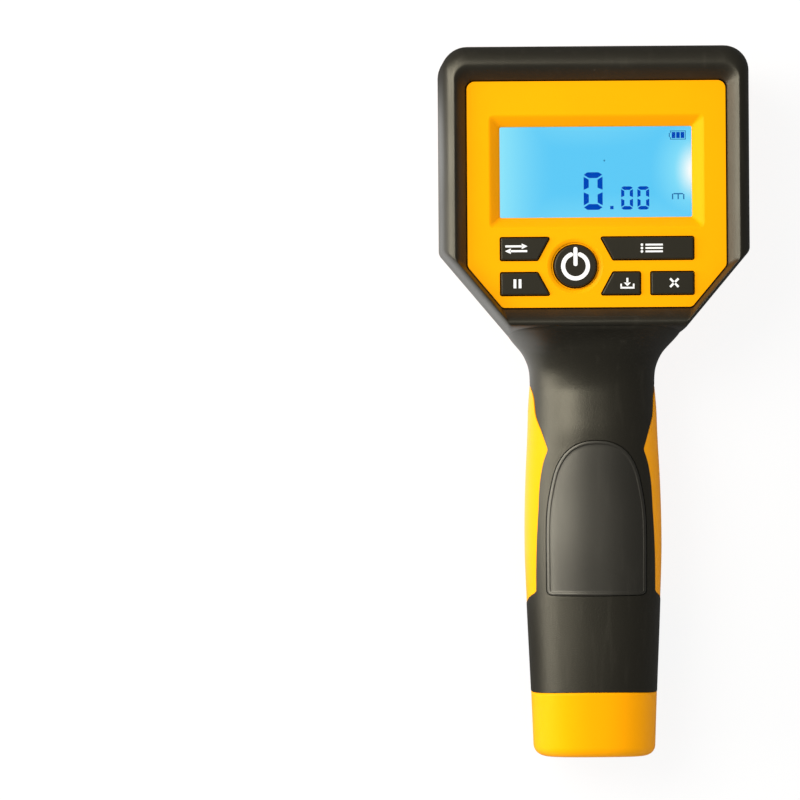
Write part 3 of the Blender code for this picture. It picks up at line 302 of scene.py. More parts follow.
def head_rings(table):
    """Rings round the head from rows of (z, side, top, diagonal and foot inset, corner radius), in mm.

    Each row's outline is the head's six-sided shape moved in by the insets, with rounded corners.
    """
    z, side_in, top_in, slant_in, foot_in, radius = (np.asarray(table, dtype=float) * mm).T
    run = (HEAD_WIDTH - HEAD_FOOT_WIDTH) / 2
    rise = TOP_Y - FOOT_Y - HEAD_SIDE_LENGTH
    slope = rise / run
    shift = slant_in * math.hypot(run, rise) / run
    side = HEAD_WIDTH / 2 - side_in
    foot = FOOT_Y + foot_in
    foot_x = HEAD_FOOT_WIDTH / 2 + (foot - FOOT_Y - shift) / slope
    side_y = FOOT_Y + (side - HEAD_FOOT_WIDTH / 2) * slope + shift
    right = np.array([(foot_x, foot), (side, side_y), (side, TOP_Y - top_in)]).transpose(2, 0, 1)
    left = right[:, ::-1] * np.array([-1.0, 1.0])
    low = np.minimum(radius, 1.6 * mm)
    middle = np.minimum(radius, 3.0 * mm)
    radii = np.stack([low, middle, radius, radius, middle, low], axis=1)
    return raised(rounded(np.concatenate([right, left], axis=1), radii, 12), z)


def rectangle_rings(table, size, y, steps):
    """Rings of a rectangle centred at (0, y), from rows of (z, growth over size, corner radius), in mm."""
    z, growth, radius = (np.asarray(table, dtype=float) * mm).T
    half = (size[0] + growth) / 2
    tall = (size[1] + growth) / 2
    corners = box_corners(-half, half, y - tall, y + tall).transpose(2, 0, 1)
    return raised(rounded(corners, np.repeat(radius[:, None], 4, axis=1), steps), z)


def turned_rings(table, centre, steps):
    """Rings turned about Z at centre, from rows of (radius, z)."""
    radius, z = np.asarray(table, dtype=float).T
    return raised(np.asarray(centre) + radius[:, None, None] * directions(full_turn(steps)), z)


def smooth_columns(stations, places):
    """Cubic through rows of (place, value, ...), sorted by falling place, read at many places."""
    table = stations[::-1]
    knots = table[:, 0]
    values = table[:, 1:]
    slopes = np.gradient(values, knots, axis=0)
    places = np.clip(places, knots[0], knots[-1])
    index = np.clip(np.searchsorted(knots, places, side="right") - 1, 0, len(knots) - 2)
    span = (knots[index + 1] - knots[index])[:, None]
    t = (places - knots[index])[:, None] / span
    start = (1 + 2 * t) * (1 - t) ** 2 * values[index] + t * (1 - t) ** 2 * span * slopes[index]
    end = t * t * (3 - 2 * t) * values[index + 1] + t * t * (t - 1) * span * slopes[index + 1]
    return start + end


# Handle's stations in mm: place along Y, half width, front and rear height, and the section's power,
# which is higher near the head, where the handle meets its flat crest
NECK = (FOOT_Y - WAIST_Y) / mm
GRIP = (WAIST_Y - SLEEVE_Y) / mm
HANDLE_STATIONS = np.array([
    (FOOT_Y / mm + 6.0, 27.4, 49.2, 0.0, 7.5),
    (FOOT_Y / mm + 3.9, 27.4, 49.3, 0.0, 7.0),
    (FOOT_Y / mm + 2.4, 27.35, 48.3, 0.0, 6.0),
    (FOOT_Y / mm + 1.0, 26.95, 46.4, 0.0, 4.9),
    (FOOT_Y / mm - 0.8, 25.8, 44.3, 0.1, 3.7),
    (FOOT_Y / mm - 2.6, 24.3, 42.8, 0.4, 2.95),
    (FOOT_Y / mm - 0.12 * NECK, 22.9, 41.8, 0.8, 2.6),
    (FOOT_Y / mm - 0.23 * NECK, 20.85, 39.6, 1.84, 2.4),
    (FOOT_Y / mm - 0.44 * NECK, 19.95, 37.6, 3.818, 2.4),
    (FOOT_Y / mm - 0.62 * NECK, 20.25, 38.5, 4.4, 2.4),
    (FOOT_Y / mm - 0.80 * NECK, 20.6, 39.5, 4.6, 2.4),
    (WAIST_Y / mm, 21.1, 39.6, 4.37, 2.4),
    (WAIST_Y / mm - 0.31 * GRIP, 21.8, 39.5, 2.76, 2.4),
    (WAIST_Y / mm - 0.62 * GRIP, 22.0, 39.6, 0.92, 2.4),
    (SLEEVE_Y / mm, 21.4, 39.1, 0.1, 2.4),
    (TAIL_Y / mm, 20.2, 38.4, 0.0, 2.4),
    (END_Y / mm, 19.45, 37.7, 0.4, 2.4),
]) * (mm, mm, mm, mm, 1.0)

# Black front's edge over the yellow side panels, as its inset from the handle's side
EDGE_ABOVE_WAIST = np.array([(5.79, 0.0), (2.24, 0.99), (-4.51, 2.1), (-8.4, 3.6), (-14.45, 5.9)]) * mm
EDGE_BELOW_WAIST = np.array([(-14.45, 5.9), (-18.2, 4.85), (-22.5, 4.2), (-34.25, 3.7), (-59.75, 2.6)]) * mm


def handle_section(places, inset=0.0):
    """Half width, front height and rear height of the handle at many places, moved in by inset."""
    half, front, rear, _ = smooth_columns(HANDLE_STATIONS, places).T
    return half - inset, front - inset, np.maximum(rear, 0.0) + inset


def section_power(places):
    """Power of the superellipse at many places: 2 is an ellipse, and more is squarer."""
    return np.maximum(smooth_columns(HANDLE_STATIONS, places)[:, 3], 2.0)


def section_height(places, x, inset=0.0, front=True):
    """Height of the handle's front or rear surface over (x, place), from the superellipse."""
    half, high, low = handle_section(places, inset)
    power = section_power(places)
    share = np.clip(1 - np.clip(np.abs(x) / half, 0, 1) ** power, 0, 1) ** (1 / power)
    return MID_Z + ((high if front else low) - MID_Z) * share


def section_points(places, angles, inset=0.0):
    """Points (m, n, 3) of the superellipse sections at m places, for angles (n) or (m, n) from +X."""
    half, high, low = handle_section(places, inset)
    cosine, sine = np.cos(angles), np.sin(angles)
    power = section_power(places)[:, None]
    across = np.sign(cosine) * np.abs(cosine) ** (2 / power)
    up = np.sign(sine) * np.abs(sine) ** (2 / power)
    reach = np.where(up > 0, (high - MID_Z)[:, None], (MID_Z - low)[:, None])
    y = np.broadcast_to(places[:, None], across.shape)
    return np.stack([half[:, None] * across, y, MID_Z + reach * up], axis=-1)


def domed(points):
    """Points with the handle's end drawn in towards its front and back.

    y grows by END_DOME * ((z - MID_Z) / DOME_REACH) ** 2, from nothing at the sleeve's top to all of
    it from the tail cap's seam on.
    """
    part = np.clip((SLEEVE_Y - points[..., 1]) / (SLEEVE_Y - TAIL_Y), 0, 1)
    lift = END_DOME * ((points[..., 2] - MID_Z) / DOME_REACH) ** 2 * part
    return points + lift[..., None] * np.array([0.0, 1.0, 0.0])


def seam_heights(places):
    """Height of the seam between the black front and the yellow back at places along Y."""
    half = handle_section(places)[0]
    above = smooth_columns(EDGE_ABOVE_WAIST, places)[:, 0]
    below = smooth_columns(EDGE_BELOW_WAIST, places)[:, 0]
    inset = np.maximum(np.where(places > WAIST_Y, above, below), 0.0)
    z = section_height(places, half - inset)
    crown = EDGE_ABOVE_WAIST[0, 0]
    head = MID_Z + 1.0 * mm * np.clip((places - crown) / (FOOT_Y - crown), 0, 1)
    z = np.where(places > crown, head, z)
    foot = EDGE_BELOW_WAIST[-1, 0]
    part = np.clip((places - SLEEVE_Y) / (foot - SLEEVE_Y), 0, 1)
    foot_z = np.interp(foot, places[::-1], z[::-1])
    return np.where(places < foot, MID_Z + (foot_z - MID_Z) * part, z)


def seam_angles(places, z, inset=0.0):
    """Angle from +X at which each section reaches height z on its right side."""
    _, high, low = handle_section(places, inset)
    reach = np.where(z > MID_Z, high - MID_Z, MID_Z - low)
    share = np.clip((z - MID_Z) / reach, -1, 1)
    return np.arcsin(np.sign(share) * np.abs(share) ** (section_power(places) / 2))


def resampled(outline, count):
    """Closed outline (n, 2) read again at count places evenly spaced along its length."""
    looped = np.concatenate([outline, outline[:1]])
    along = np.concatenate([[0.0], np.cumsum(np.linalg.norm(np.diff(looped, axis=0), axis=1))])
    places = np.arange(count) / count * along[-1]
    return np.stack([np.interp(places, along, column) for column in looped.T], axis=1)


def pad_outline(margin):
    """Arch-shaped outline of the palm pad, wider by margin.

    Half of the arch is a polyline with its corners cut, mirrored across the middle, and each point
    moves out along its normal by the margin.
    """
    foot = SLEEVE_Y / mm + 3.6
    half = cut_corners([
        (0.0, foot), (12.0, foot), (15.7, foot), (15.7, foot + 3.7), (15.8, -42.0), (15.6, -34.0),
        (14.5, -27.0), (12.8, -19.8), (9.3, -14.4), (4.5, -11.9), (0.0, -11.6)], 4) * mm
    other = half[-2:0:-1] * np.array([-1.0, 1.0])
    outline = resampled(np.concatenate([half, other]), 360)
    along = unit(np.roll(outline, -1, axis=0) - np.roll(outline, 1, axis=0))
    return outline + np.stack([along[:, 1], -along[:, 0]], axis=1) * margin


def lifted(outline, rise):
    """Points (n, 2) set on the handle's front surface and lifted by rise."""
    return np.column_stack([outline, section_height(outline[:, 1], outline[:, 0]) + rise])


def grown(corners, margin):
    """Polygon (k, 2), counter-clockwise, with every side moved out by margin."""
    before = unit(corners - np.roll(corners, 1, axis=0))
    after = unit(np.roll(corners, -1, axis=0) - corners)
    cross = before[:, 0] * after[:, 1] - before[:, 1] * after[:, 0]
    return corners + (before - after) * (margin / cross)[:, None]


def key_corners(name):
    """Corners of one of the five four-sided keys, counter-clockwise, in mm.

    The ends beside the power key slope away from it, from 11.8 mm off its middle at the two rows'
    facing edges to 8.05 mm at their outer edges.
    """
    middle = POWER_KEY_PLACE[0] / mm
    near, far = (middle - 11.8, middle + 11.8), (middle - 8.05, middle + 8.05)
    end = 30.0
    (low, top), (foot, high) = (44.9, 51.8), (34.0, 40.9)
    return np.array({
        "units": ((-end, low), (near[0], low), (far[0], top), (-end, top)),
        "hold": ((-end, foot), (far[0], foot), (near[0], high), (-end, high)),
        "memory": ((near[1], low), (end, low), (end, top), (far[1], top)),
        "save": ((far[1], foot), (13.35, foot), (13.35, high), (near[1], high)),
        "clear": ((16.8, foot), (end, foot), (end, high), (16.8, high)),
    }[name])


def key_outline(name, margin):
    """Rounded outline of one key, wider by margin."""
    if name == "power":
        return turned_rings([(POWER_KEY_RADIUS + margin, 0.0)], POWER_KEY_PLACE, 96)[0, :, :2]
    corners = grown(key_corners(name) * mm, margin)
    return rounded_polygon(corners, max(0.3 * mm + margin, 0.1 * mm), 5)


# Shader nodes and groups

def wire(tree, sockets, values):
    """Joins outputs to the sockets that they are given for, and sets the others' own values."""
    for name, value in values.items():
        if isinstance(value, bpy.types.NodeSocket):
            tree.links.new(value, sockets[name])
        elif sockets[name].type == "RGBA":
            sockets[name].default_value = (*value[:3], 1.0)
        else:
            sockets[name].default_value = value


def add_node(tree, kind, inputs, **settings):
    """Shader node of a kind, with its settings and with values or outputs on its inputs."""
    node = tree.nodes.new("ShaderNode" + kind)
    for name, value in settings.items():
        setattr(node, name, value)
    wire(tree, node.inputs, inputs)
    return node


def maths(tree, operation, *values, clamp=False):
    """Output of a Math node on values or outputs."""
    return add_node(tree, "Math", dict(enumerate(values)), operation=operation, use_clamp=clamp).outputs[0]


def highest(tree, first, *others):
    """Output of the highest of several values or outputs."""
    for value in others:
        first = maths(tree, "MAXIMUM", first, value)
    return first


def mix_colour(tree, factor, first, second):
    """Colour output of a mix between two colours or outputs."""
    return add_node(tree, "Mix", {0: factor, 6: first, 7: second}, data_type="RGBA").outputs[2]


def object_place(tree):
    """Object coordinates of the surface."""
    return add_node(tree, "TexCoord", {}).outputs["Object"]


def bumps(tree, height, strength, distance):
    """Normal of a bumped surface."""
    values = {"Height": height, "Strength": strength, "Distance": distance}
    return add_node(tree, "Bump", values).outputs["Normal"]


def new_group(name, inputs, outputs):
    """Empty shader node group with a default for each input and a kind for each output.

    Gives the group, the outputs of its input node and the inputs of its output node.
    """
    group = bpy.data.node_groups.new(name, "ShaderNodeTree")
    for label, default in inputs.items():
        kind = "NodeSocketColor" if isinstance(default, tuple) else "NodeSocketFloat"
        socket = group.interface.new_socket(name=label, in_out="INPUT", socket_type=kind)
        socket.default_value = default
    for label, kind in outputs.items():
        group.interface.new_socket(name=label, in_out="OUTPUT", socket_type=kind)
    return group, group.nodes.new("NodeGroupInput").outputs, group.nodes.new("NodeGroupOutput").inputs


def moulded_grain_group():
    """Fine spark-eroded mould texture with soft flow patches, as a height and a patch mask."""
    group, given, out = new_group("Moulded grain", {"Grain size": 1.0, "Patch size": 1.0},
                                  {"Height": "NodeSocketFloat", "Patches": "NodeSocketFloat"})
    place = object_place(group)
    fine = add_node(group, "TexNoise", {"Vector": place, "Detail": 3.0, "Roughness": 0.6,
                                        "Scale": maths(group, "DIVIDE", 2600.0, given["Grain size"])})
    broad = add_node(group, "TexNoise", {"Vector": place, "Detail": 2.0,
                                         "Scale": maths(group, "DIVIDE", 60.0, given["Patch size"])})
    wire(group, out, {"Height": fine.outputs["Fac"], "Patches": broad.outputs["Fac"]})
    return group


def handling_group():
    """Marks of handling: sparse pale specks and thin rubbed streaks, as one mask."""
    group, given, out = new_group("Handling marks", {"Amount": 0.5, "Speck size": 1.0},
                                  {"Mask": "NodeSocketFloat", "Roughness shift": "NodeSocketFloat"})
    place = object_place(group)
    cells = add_node(group, "TexVoronoi", {
        "Vector": place, "Scale": maths(group, "DIVIDE", 150.0, given["Speck size"])}, feature="F1")
    rare = add_node(group, "TexNoise", {"Vector": place, "Scale": 45.0, "Detail": 1.0}).outputs["Fac"]
    close = maths(group, "LESS_THAN", cells.outputs["Distance"], 0.05)
    speck = maths(group, "MULTIPLY", close, maths(group, "GREATER_THAN", rare, 0.62))
    stretched = add_node(group, "Mapping", {
        "Vector": place, "Scale": (1.0, 0.12, 1.0), "Rotation": (0.0, 0.0, 0.5)}).outputs["Vector"]
    streak = add_node(group, "TexNoise", {"Vector": stretched, "Scale": 420.0, "Detail": 4.0})
    rubbed = maths(group, "SUBTRACT", streak.outputs["Fac"], 0.55)
    rubbed = maths(group, "MULTIPLY", rubbed, 1.2, clamp=True)
    total = maths(group, "ADD", maths(group, "MULTIPLY", speck, 0.8), rubbed)
    shift = maths(group, "SUBTRACT", rare, 0.5)
    wire(group, out, {"Mask": maths(group, "MULTIPLY", total, given["Amount"], clamp=True),
                      "Roughness shift": maths(group, "MULTIPLY", shift, given["Amount"])})
    return group


def grain(tree, size, patches=1.0):
    """Outputs of the shared grain: its height and its patches."""
    group = bpy.data.node_groups.get("Moulded grain") or moulded_grain_group()
    return add_node(tree, "Group", {"Grain size": size, "Patch size": patches}, node_tree=group).outputs


def handling(tree, amount):
    """Outputs of the shared handling marks: their mask and their roughness shift."""
    group = bpy.data.node_groups.get("Handling marks") or handling_group()
    return add_node(tree, "Group", {"Amount": amount, "Speck size": 1.0}, node_tree=group).outputs


# Materials

def base_material(name, roughness, metallic=0.0, coat=0.0, specular=0.5):
    """Material with constants on its shader, its node tree and the shader's inputs."""
    material = bpy.data.materials.new(name)
    material.use_nodes = True
    tree = material.node_tree
    inputs = tree.nodes["Principled BSDF"].inputs
    wire(tree, inputs, {
        "Roughness": roughness, "Metallic": metallic, "Specular IOR Level": specular,
        "Coat Weight": coat, "Coat Roughness": roughness + 0.1 if coat else 0.0})
    return material, tree, inputs


def moulded(name, colour, roughness, size=1.0, depth=0.02, patches=0.08, marks=0.3, worn=None,
            specular=0.5, coat=0.0, tint=(1.0, 1.0, 1.0)):
    """Moulded plastic or rubber: grain as bump, faint flow patches, specks and rubbed streaks."""
    if name in bpy.data.materials:
        return bpy.data.materials[name]
    material, tree, inputs = base_material(name, roughness, coat=coat, specular=specular)
    surface = grain(tree, size)
    handled = handling(tree, marks)
    colour = np.array(colour)
    dark, light = (np.clip(colour * (1 + share), 0, 1) for share in (-patches, patches))
    toned = mix_colour(tree, surface["Patches"], dark, light)
    pale = worn or np.clip(colour * 1.5 + 0.03, 0, 1)
    wire(tree, inputs, {
        "Base Color": mix_colour(tree, handled["Mask"], toned, pale), "Specular Tint": tint,
        "Roughness": maths(tree, "MULTIPLY_ADD", handled["Roughness shift"], 0.5, roughness),
        "Normal": bumps(tree, surface["Height"], depth, 0.2 * mm)})
    return material


def lit_material(name, colour, roughness=0.4, strength=1.0):
    """Black surface that gives off a colour, its node tree and the shader's inputs."""
    material, tree, inputs = base_material(name, roughness, specular=0.0)
    wire(tree, inputs, {"Base Color": (0.0, 0.0, 0.0), "Emission Color": colour,
                        "Emission Strength": strength})
    return material, tree, inputs


def rubber():
    """Satin black rubber of the bumper, the neck and the sleeve."""
    return moulded("Black rubber", bpy.context.scene.handle_colours.bumper, 0.43, depth=0.3, patches=0.06,
                   worn=(0.10, 0.09, 0.07), specular=0.82, tint=WARM_SHEEN)


def pad_rubber():
    """Softer, shinier rubber of the palm pad."""
    colour = np.array(bpy.context.scene.handle_colours.bumper) * 1.1
    return moulded("Pad rubber", colour, 0.44, size=0.9, depth=0.2, patches=0.06, marks=0.35,
                   worn=(0.10, 0.09, 0.07), specular=1.0, coat=0.8, tint=WARM_SHEEN)


def yellow():
    """Yellow plastic of the shells and the faceplate."""
    return moulded("Yellow plastic", bpy.context.scene.handle_colours.shell, 0.36, size=0.8, depth=0.1,
                   patches=0.03, marks=0.06, worn=(0.98, 0.48, 0.02), specular=0.12, tint=(1.0, 0.82, 0.25))


def key_plastic():
    """Satin black plastic of the keys."""
    return moulded("Key plastic", bpy.context.scene.handle_colours.keys, 0.4, size=0.7, depth=0.12,
                   patches=0.05, marks=0.08, worn=(0.08, 0.075, 0.065), specular=0.3, tint=WARM_SHEEN)


def black_plastic():
    """Matte black plastic of the parts inside."""
    return moulded("Black plastic", (0.02, 0.02, 0.02), 0.5, size=1.2, depth=0.2, patches=0.1, marks=0.15)


def steel():
    """Plated steel with fine turning marks."""
    material, tree, inputs = base_material("Plated steel", 0.3, metallic=1.0)
    surface = grain(tree, 0.5, 0.4)
    tone = mix_colour(tree, surface["Patches"], (0.45, 0.45, 0.46), (0.66, 0.65, 0.62))
    wire(tree, inputs, {"Base Color": tone, "Normal": bumps(tree, surface["Height"], 0.15, 0.1 * mm)})
    return material


def board_green():
    """Solder mask with raised tracks from a brick pattern."""
    material, tree, inputs = base_material("Circuit board", 0.42, coat=0.3)
    tracks = add_node(tree, "TexBrick", {
        "Vector": object_place(tree), "Scale": 160.0, "Mortar Size": 0.03, "Color1": (0.01, 0.13, 0.045),
        "Color2": (0.012, 0.16, 0.055), "Mortar": (0.02, 0.24, 0.09)}).outputs
    wire(tree, inputs, {"Base Color": tracks["Color"], "Normal": bumps(tree, tracks["Fac"], 0.3, 0.1 * mm)})
    return material


def cell_wrap():
    """Printed film round a cell: a dark sleeve with a copper end band, by height along Y."""
    material, tree, inputs = base_material("Cell wrap", 0.28, coat=0.4)
    split = add_node(tree, "SeparateXYZ", {"Vector": object_place(tree)})
    share = maths(tree, "MULTIPLY_ADD", split.outputs["Y"], 1 / 0.0575, 0.9995)
    ramp = add_node(tree, "ValToRGB", {0: share})
    ramp.color_ramp.interpolation = "CONSTANT"
    sleeve, band = ramp.color_ramp.elements
    sleeve.color = (0.03, 0.09, 0.12, 1.0)
    band.position = 0.7
    band.color = (0.45, 0.2, 0.06, 1.0)
    patches = grain(tree, 1.0, 0.5)["Patches"]
    toned = mix_colour(tree, patches, ramp.outputs["Color"], (0.06, 0.1, 0.12))
    wire(tree, inputs, {"Base Color": toned})
    return material


def paint(items, material):
    """Gives the pieces one finish in place of their own."""
    for item in items:
        item.data.materials.clear()
        item.data.materials.append(material)


def finish_piece(item, body, slot, material, *nodes):
    """Gives the piece its finish and body, and hides the nodes that it stands for."""
    paint([item], material)
    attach(item, body)
    if nodes:
        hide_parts(*nodes)


# Sizes and colours that a user would change

COLOUR = {"subtype": "COLOR", "size": 3, "min": 0.0, "max": 1.0}

class HandleSizes(bpy.types.PropertyGroup):
    edge_radius: FloatProperty(
        name="Edge radius", description="Rounding of the faceplate's edges", default=0.22 * mm,
        min=0.05 * mm, max=0.6 * mm, unit="LENGTH")
    window_flare: FloatProperty(
        name="Window flare", description="Width of the slope round the window", default=3.2 * mm,
        min=1.0 * mm, max=4.0 * mm, unit="LENGTH")
    key_crown: FloatProperty(
        name="Key rounding", description="Rounding along the top of each key", default=0.45 * mm,
        min=0.1 * mm, max=0.8 * mm, unit="LENGTH")
    pad_rise: FloatProperty(
        name="Pad rise", description="How far the palm pad stands over the grip", default=0.18 * mm,
        min=0.0, max=0.5 * mm, unit="LENGTH")
    mark_thickness: FloatProperty(
        name="Print thickness", description="Thickness of the printed marks", default=0.05 * mm,
        min=0.02 * mm, max=0.1 * mm, unit="LENGTH")


class HandleColours(bpy.types.PropertyGroup):
    bumper: FloatVectorProperty(
        name="Bumper", description="Colour of the black rubber", default=(0.011, 0.0098, 0.0070), **COLOUR)
    shell: FloatVectorProperty(
        name="Shell", description="Colour of the yellow plastic", default=(0.98, 0.375, 0.001), **COLOUR)
    keys: FloatVectorProperty(
        name="Keys", description="Colour of the keys", default=(0.018, 0.016, 0.011), **COLOUR)
    marks: FloatVectorProperty(
        name="Marks", description="Colour of the printed marks", default=(0.85, 0.85, 0.83), **COLOUR)
    screen: FloatVectorProperty(
        name="Screen", description="Colour of the lit screen", default=(0.115, 0.60, 0.93), **COLOUR)
    digits: FloatVectorProperty(
        name="Digits", description="Colour of the screen's figures", default=(0.0, 0.062, 0.47), **COLOUR)
    floor: FloatVectorProperty(
        name="Floor", description="Colour of the floor", default=(0.9, 0.9, 0.9), **COLOUR)


# Housing

class HANDLE_OT_bumper(bpy.types.Operator):
    """Black bumper round the head, from the seam over its crest to the ledge under the faceplate"""
    bl_idname = "handle.bumper"
    bl_label = "Bumper"

    def execute(self, context):
        outside = [
            (RIM_FOOT_Z / mm, 0.35, 0.35, 0.35, 0.35, 7.8),
            (21.2, 0.05, 0.05, 0.05, 0.05, 8.0),
            (22.6, 0.05, 0.05, 0.05, 0.1, 8.0),
            (33.0, 0.45, 0.3, 0.3, 1.0, 8.0),
            (45.0, 1.0, 0.6, 0.6, 2.2, 8.0),
            (48.5, 2.3, 2.6, 1.0, 2.9, 6.8),
            (50.0, 4.2, 5.6, 1.55, 3.7, 5.5),
            (50.0, 5.3, 7.9, 1.95, 5.2, 4.5),
            (46.9, 8.1, 11.3, 3.0, 8.3, 2.7),
            (46.2, 8.4, 11.7, 3.1, 8.7, 2.5),
            (43.0, 8.4, 11.7, 3.1, 8.7, 2.5),
        ]
        inside = [
            (43.0, 10.9, 14.2, 4.0, 10.7, 2.5),
            (40.5, 10.9, 14.2, 4.0, 10.7, 2.5),
            (40.5, 3.6, 3.2, 3.2, 4.8, 5.4),
            (RIM_FOOT_Z / mm, 2.6, 2.6, 2.6, 2.6, 5.4),
        ]
        bumper = loft("head_bumper", head_rings([*cut_corners(outside), *inside]), closed=True)
        combine(bumper, prism("passage", box_corners(*PASSAGE), 10 * mm, 38 * mm))
        sharpen(bumper, 38)
        finish_piece(bumper, "housing", "bumper_rubber", rubber(), "front_housing")
        return {"FINISHED"}


class HANDLE_OT_grip(bpy.types.Operator):
    """Black neck, grip and sleeve, with the pocket for the palm pad"""
    bl_idname = "handle.grip"
    bl_label = "Grip"

    def execute(self, context):
        grip = thicken(grip_front(), 2.0 * mm)
        pocket = prism("pocket", pad_outline(0.24 * mm), 20 * mm, 55 * mm)
        places = np.linspace(5 * mm, SLEEVE_Y - 8 * mm, 60)
        combine(pocket, loft("floor", section_points(places, full_turn(96), 1.0 * mm)))
        combine(grip, pocket)
        sharpen(grip, 34)
        finish_piece(grip, "housing", "bumper_rubber", rubber(), "front_housing")
        return {"FINISHED"}


def rows_to_sleeve():
    """Places along Y of the handle's rows from inside the head to the sleeve, closer in the neck."""
    neck = np.linspace(FOOT_Y + 6 * mm, FOOT_Y - 5 * mm, 36)
    return np.concatenate([neck[:-1], np.linspace(FOOT_Y - 5 * mm, SLEEVE_Y, 104)])


def grip_front():
    """Skin of the neck, grip and sleeve on a grid of places along Y and angles round the section.

    Down to the sleeve the angles run from the right seam over the front to the left seam, and on
    the sleeve further columns close the ring round the back.
    """
    upper = rows_to_sleeve()
    lower = np.linspace(SLEEVE_Y, TAIL_Y + SEAM_GAP / 2, 34)[1:]
    start = seam_angles(upper, seam_heights(upper) + SEAM_GAP / 2)
    start = np.concatenate([start, np.full(len(lower), start[-1])])[:, None]
    front = start + (np.pi - 2 * start) * np.linspace(0, 1, 97)
    back = (np.pi - start) + (np.pi + 2 * start) * np.linspace(0, 1, 73)[1:-1]
    angles = np.concatenate([front, back], axis=1)
    points = domed(section_points(np.concatenate([upper, lower]), angles))
    rows, columns = angles.shape
    faces = grid_faces(rows, columns, around=True)
    row, column = faces[:, 0] // columns, faces[:, 0] % columns
    faces = faces[(column < front.shape[1] - 1) | (row >= len(upper) - 1)]
    used, faces = np.unique(faces, return_inverse=True)
    skin = make_mesh("grip_cover", points.reshape(-1, 3)[used], faces.reshape(-1, 4))
    return facing(skin, 1)


class HANDLE_OT_back_shell(bpy.types.Operator):
    """Yellow back shell: the head's pan and the handle's trough, with the holes in its back"""
    bl_idname = "handle.back_shell"
    bl_label = "Back shell"

    def execute(self, context):
        shell = sharpen(join_pieces("back_shell", [head_pan(), handle_trough()]), 34)
        finish_piece(shell, "housing", "shell_yellow", yellow(), "rear_housing")
        return {"FINISHED"}


def head_pan():
    """Head's back half: rings down its side, over the rounded edge and in to a flat back, with
    holes for the pole socket, the four screws and the way into the handle."""
    inside = [(2.6, 3.9, 3.9, 3.6, 3.6, 5.4), (PAN_TOP_Z / mm, 2.6, 2.6, 2.6, 2.6, 5.4)]
    outside = [
        (PAN_TOP_Z / mm, 0.75, 0.75, 0.75, 0.75, 7.8),
        (PAN_TOP_Z / mm, 0.4, 0.4, 0.4, 0.4, 8.0),
        (12.0, 1.0, 1.0, 0.8, 0.8, 8.0),
        (3.4, 1.6, 1.6, 1.3, 1.3, 8.0),
        (1.0, 2.3, 2.3, 2.0, 2.0, 7.6),
        (0.0, 4.6, 4.6, 3.6, 3.6, 5.0),
        (0.0, 7.0, 7.0, 6.0, 6.0, 3.5),
    ]
    pan = loft("head_pan", head_rings([*inside, *cut_corners(outside)]))
    post = np.array([(4.0, 1.0), (4.0, PAN_TOP_Z / mm)]) * mm
    bore = np.array([(2.8, -1.0), (2.8, 12.3), (1.6, 12.3), (1.6, 22.0)]) * mm
    for place in POST_PLACES:
        combine(pan, loft("post", turned_rings(post, place, 40)), "UNION")
        combine(pan, loft("bore", turned_rings(bore, place, 40)))
    hole = [(SOCKET_HOLE_RADIUS, -1 * mm), (SOCKET_HOLE_RADIUS, 9 * mm)]
    combine(pan, loft("hole", turned_rings(hole, SOCKET_PLACE, 96)))
    return combine(pan, prism("passage", box_corners(*PASSAGE), 5 * mm, 30 * mm))


def handle_trough():
    """Handle's back: angles from the left seam round the back to the right seam, a step in from
    the black front, with the hole for the battery door and slightly fuller sides at the neck."""
    places = np.maximum(rows_to_sleeve(), SLEEVE_Y + SEAM_GAP / 2)
    step = np.interp(places, (3 * mm, 9 * mm), (SHELL_STEP, BUMPER_STEP))
    start = seam_angles(places, seam_heights(places) - SEAM_GAP / 2, step)[:, None]
    angles = (np.pi - start) + (np.pi + 2 * start) * np.linspace(0, 1, 121)
    points = section_points(places, angles, step)
    fuller = np.interp(places, (-14 * mm, -3 * mm, 5 * mm, 9.5 * mm), (0.0, 0.35 * mm, 0.3 * mm, 0.0))
    points[..., 0] *= (1 + fuller / handle_section(places)[0])[:, None]
    trough = facing(make_mesh("handle_trough", points, grid_faces(*angles.shape)), -1)
    thicken(trough, 2.1 * mm)
    return combine(trough, prism("door_hole", door_outline(0.3 * mm, HOLE_TOP_Y), -5 * mm, 16 * mm))


def door_outline(margin, top):
    """Battery door's rounded outline, or with a margin that of its hole."""
    half = DOOR_HALF_WIDTH + margin
    return rounded_polygon(box_corners(-half, half, DOOR_FOOT_Y - margin, top), 3.0 * mm + margin, 10)


def rear_height(y, x, inset):
    """Height of the handle's rear surface, moved in by inset, at one place."""
    return section_height(np.array([y]), np.array([x]), inset, front=False)[0]


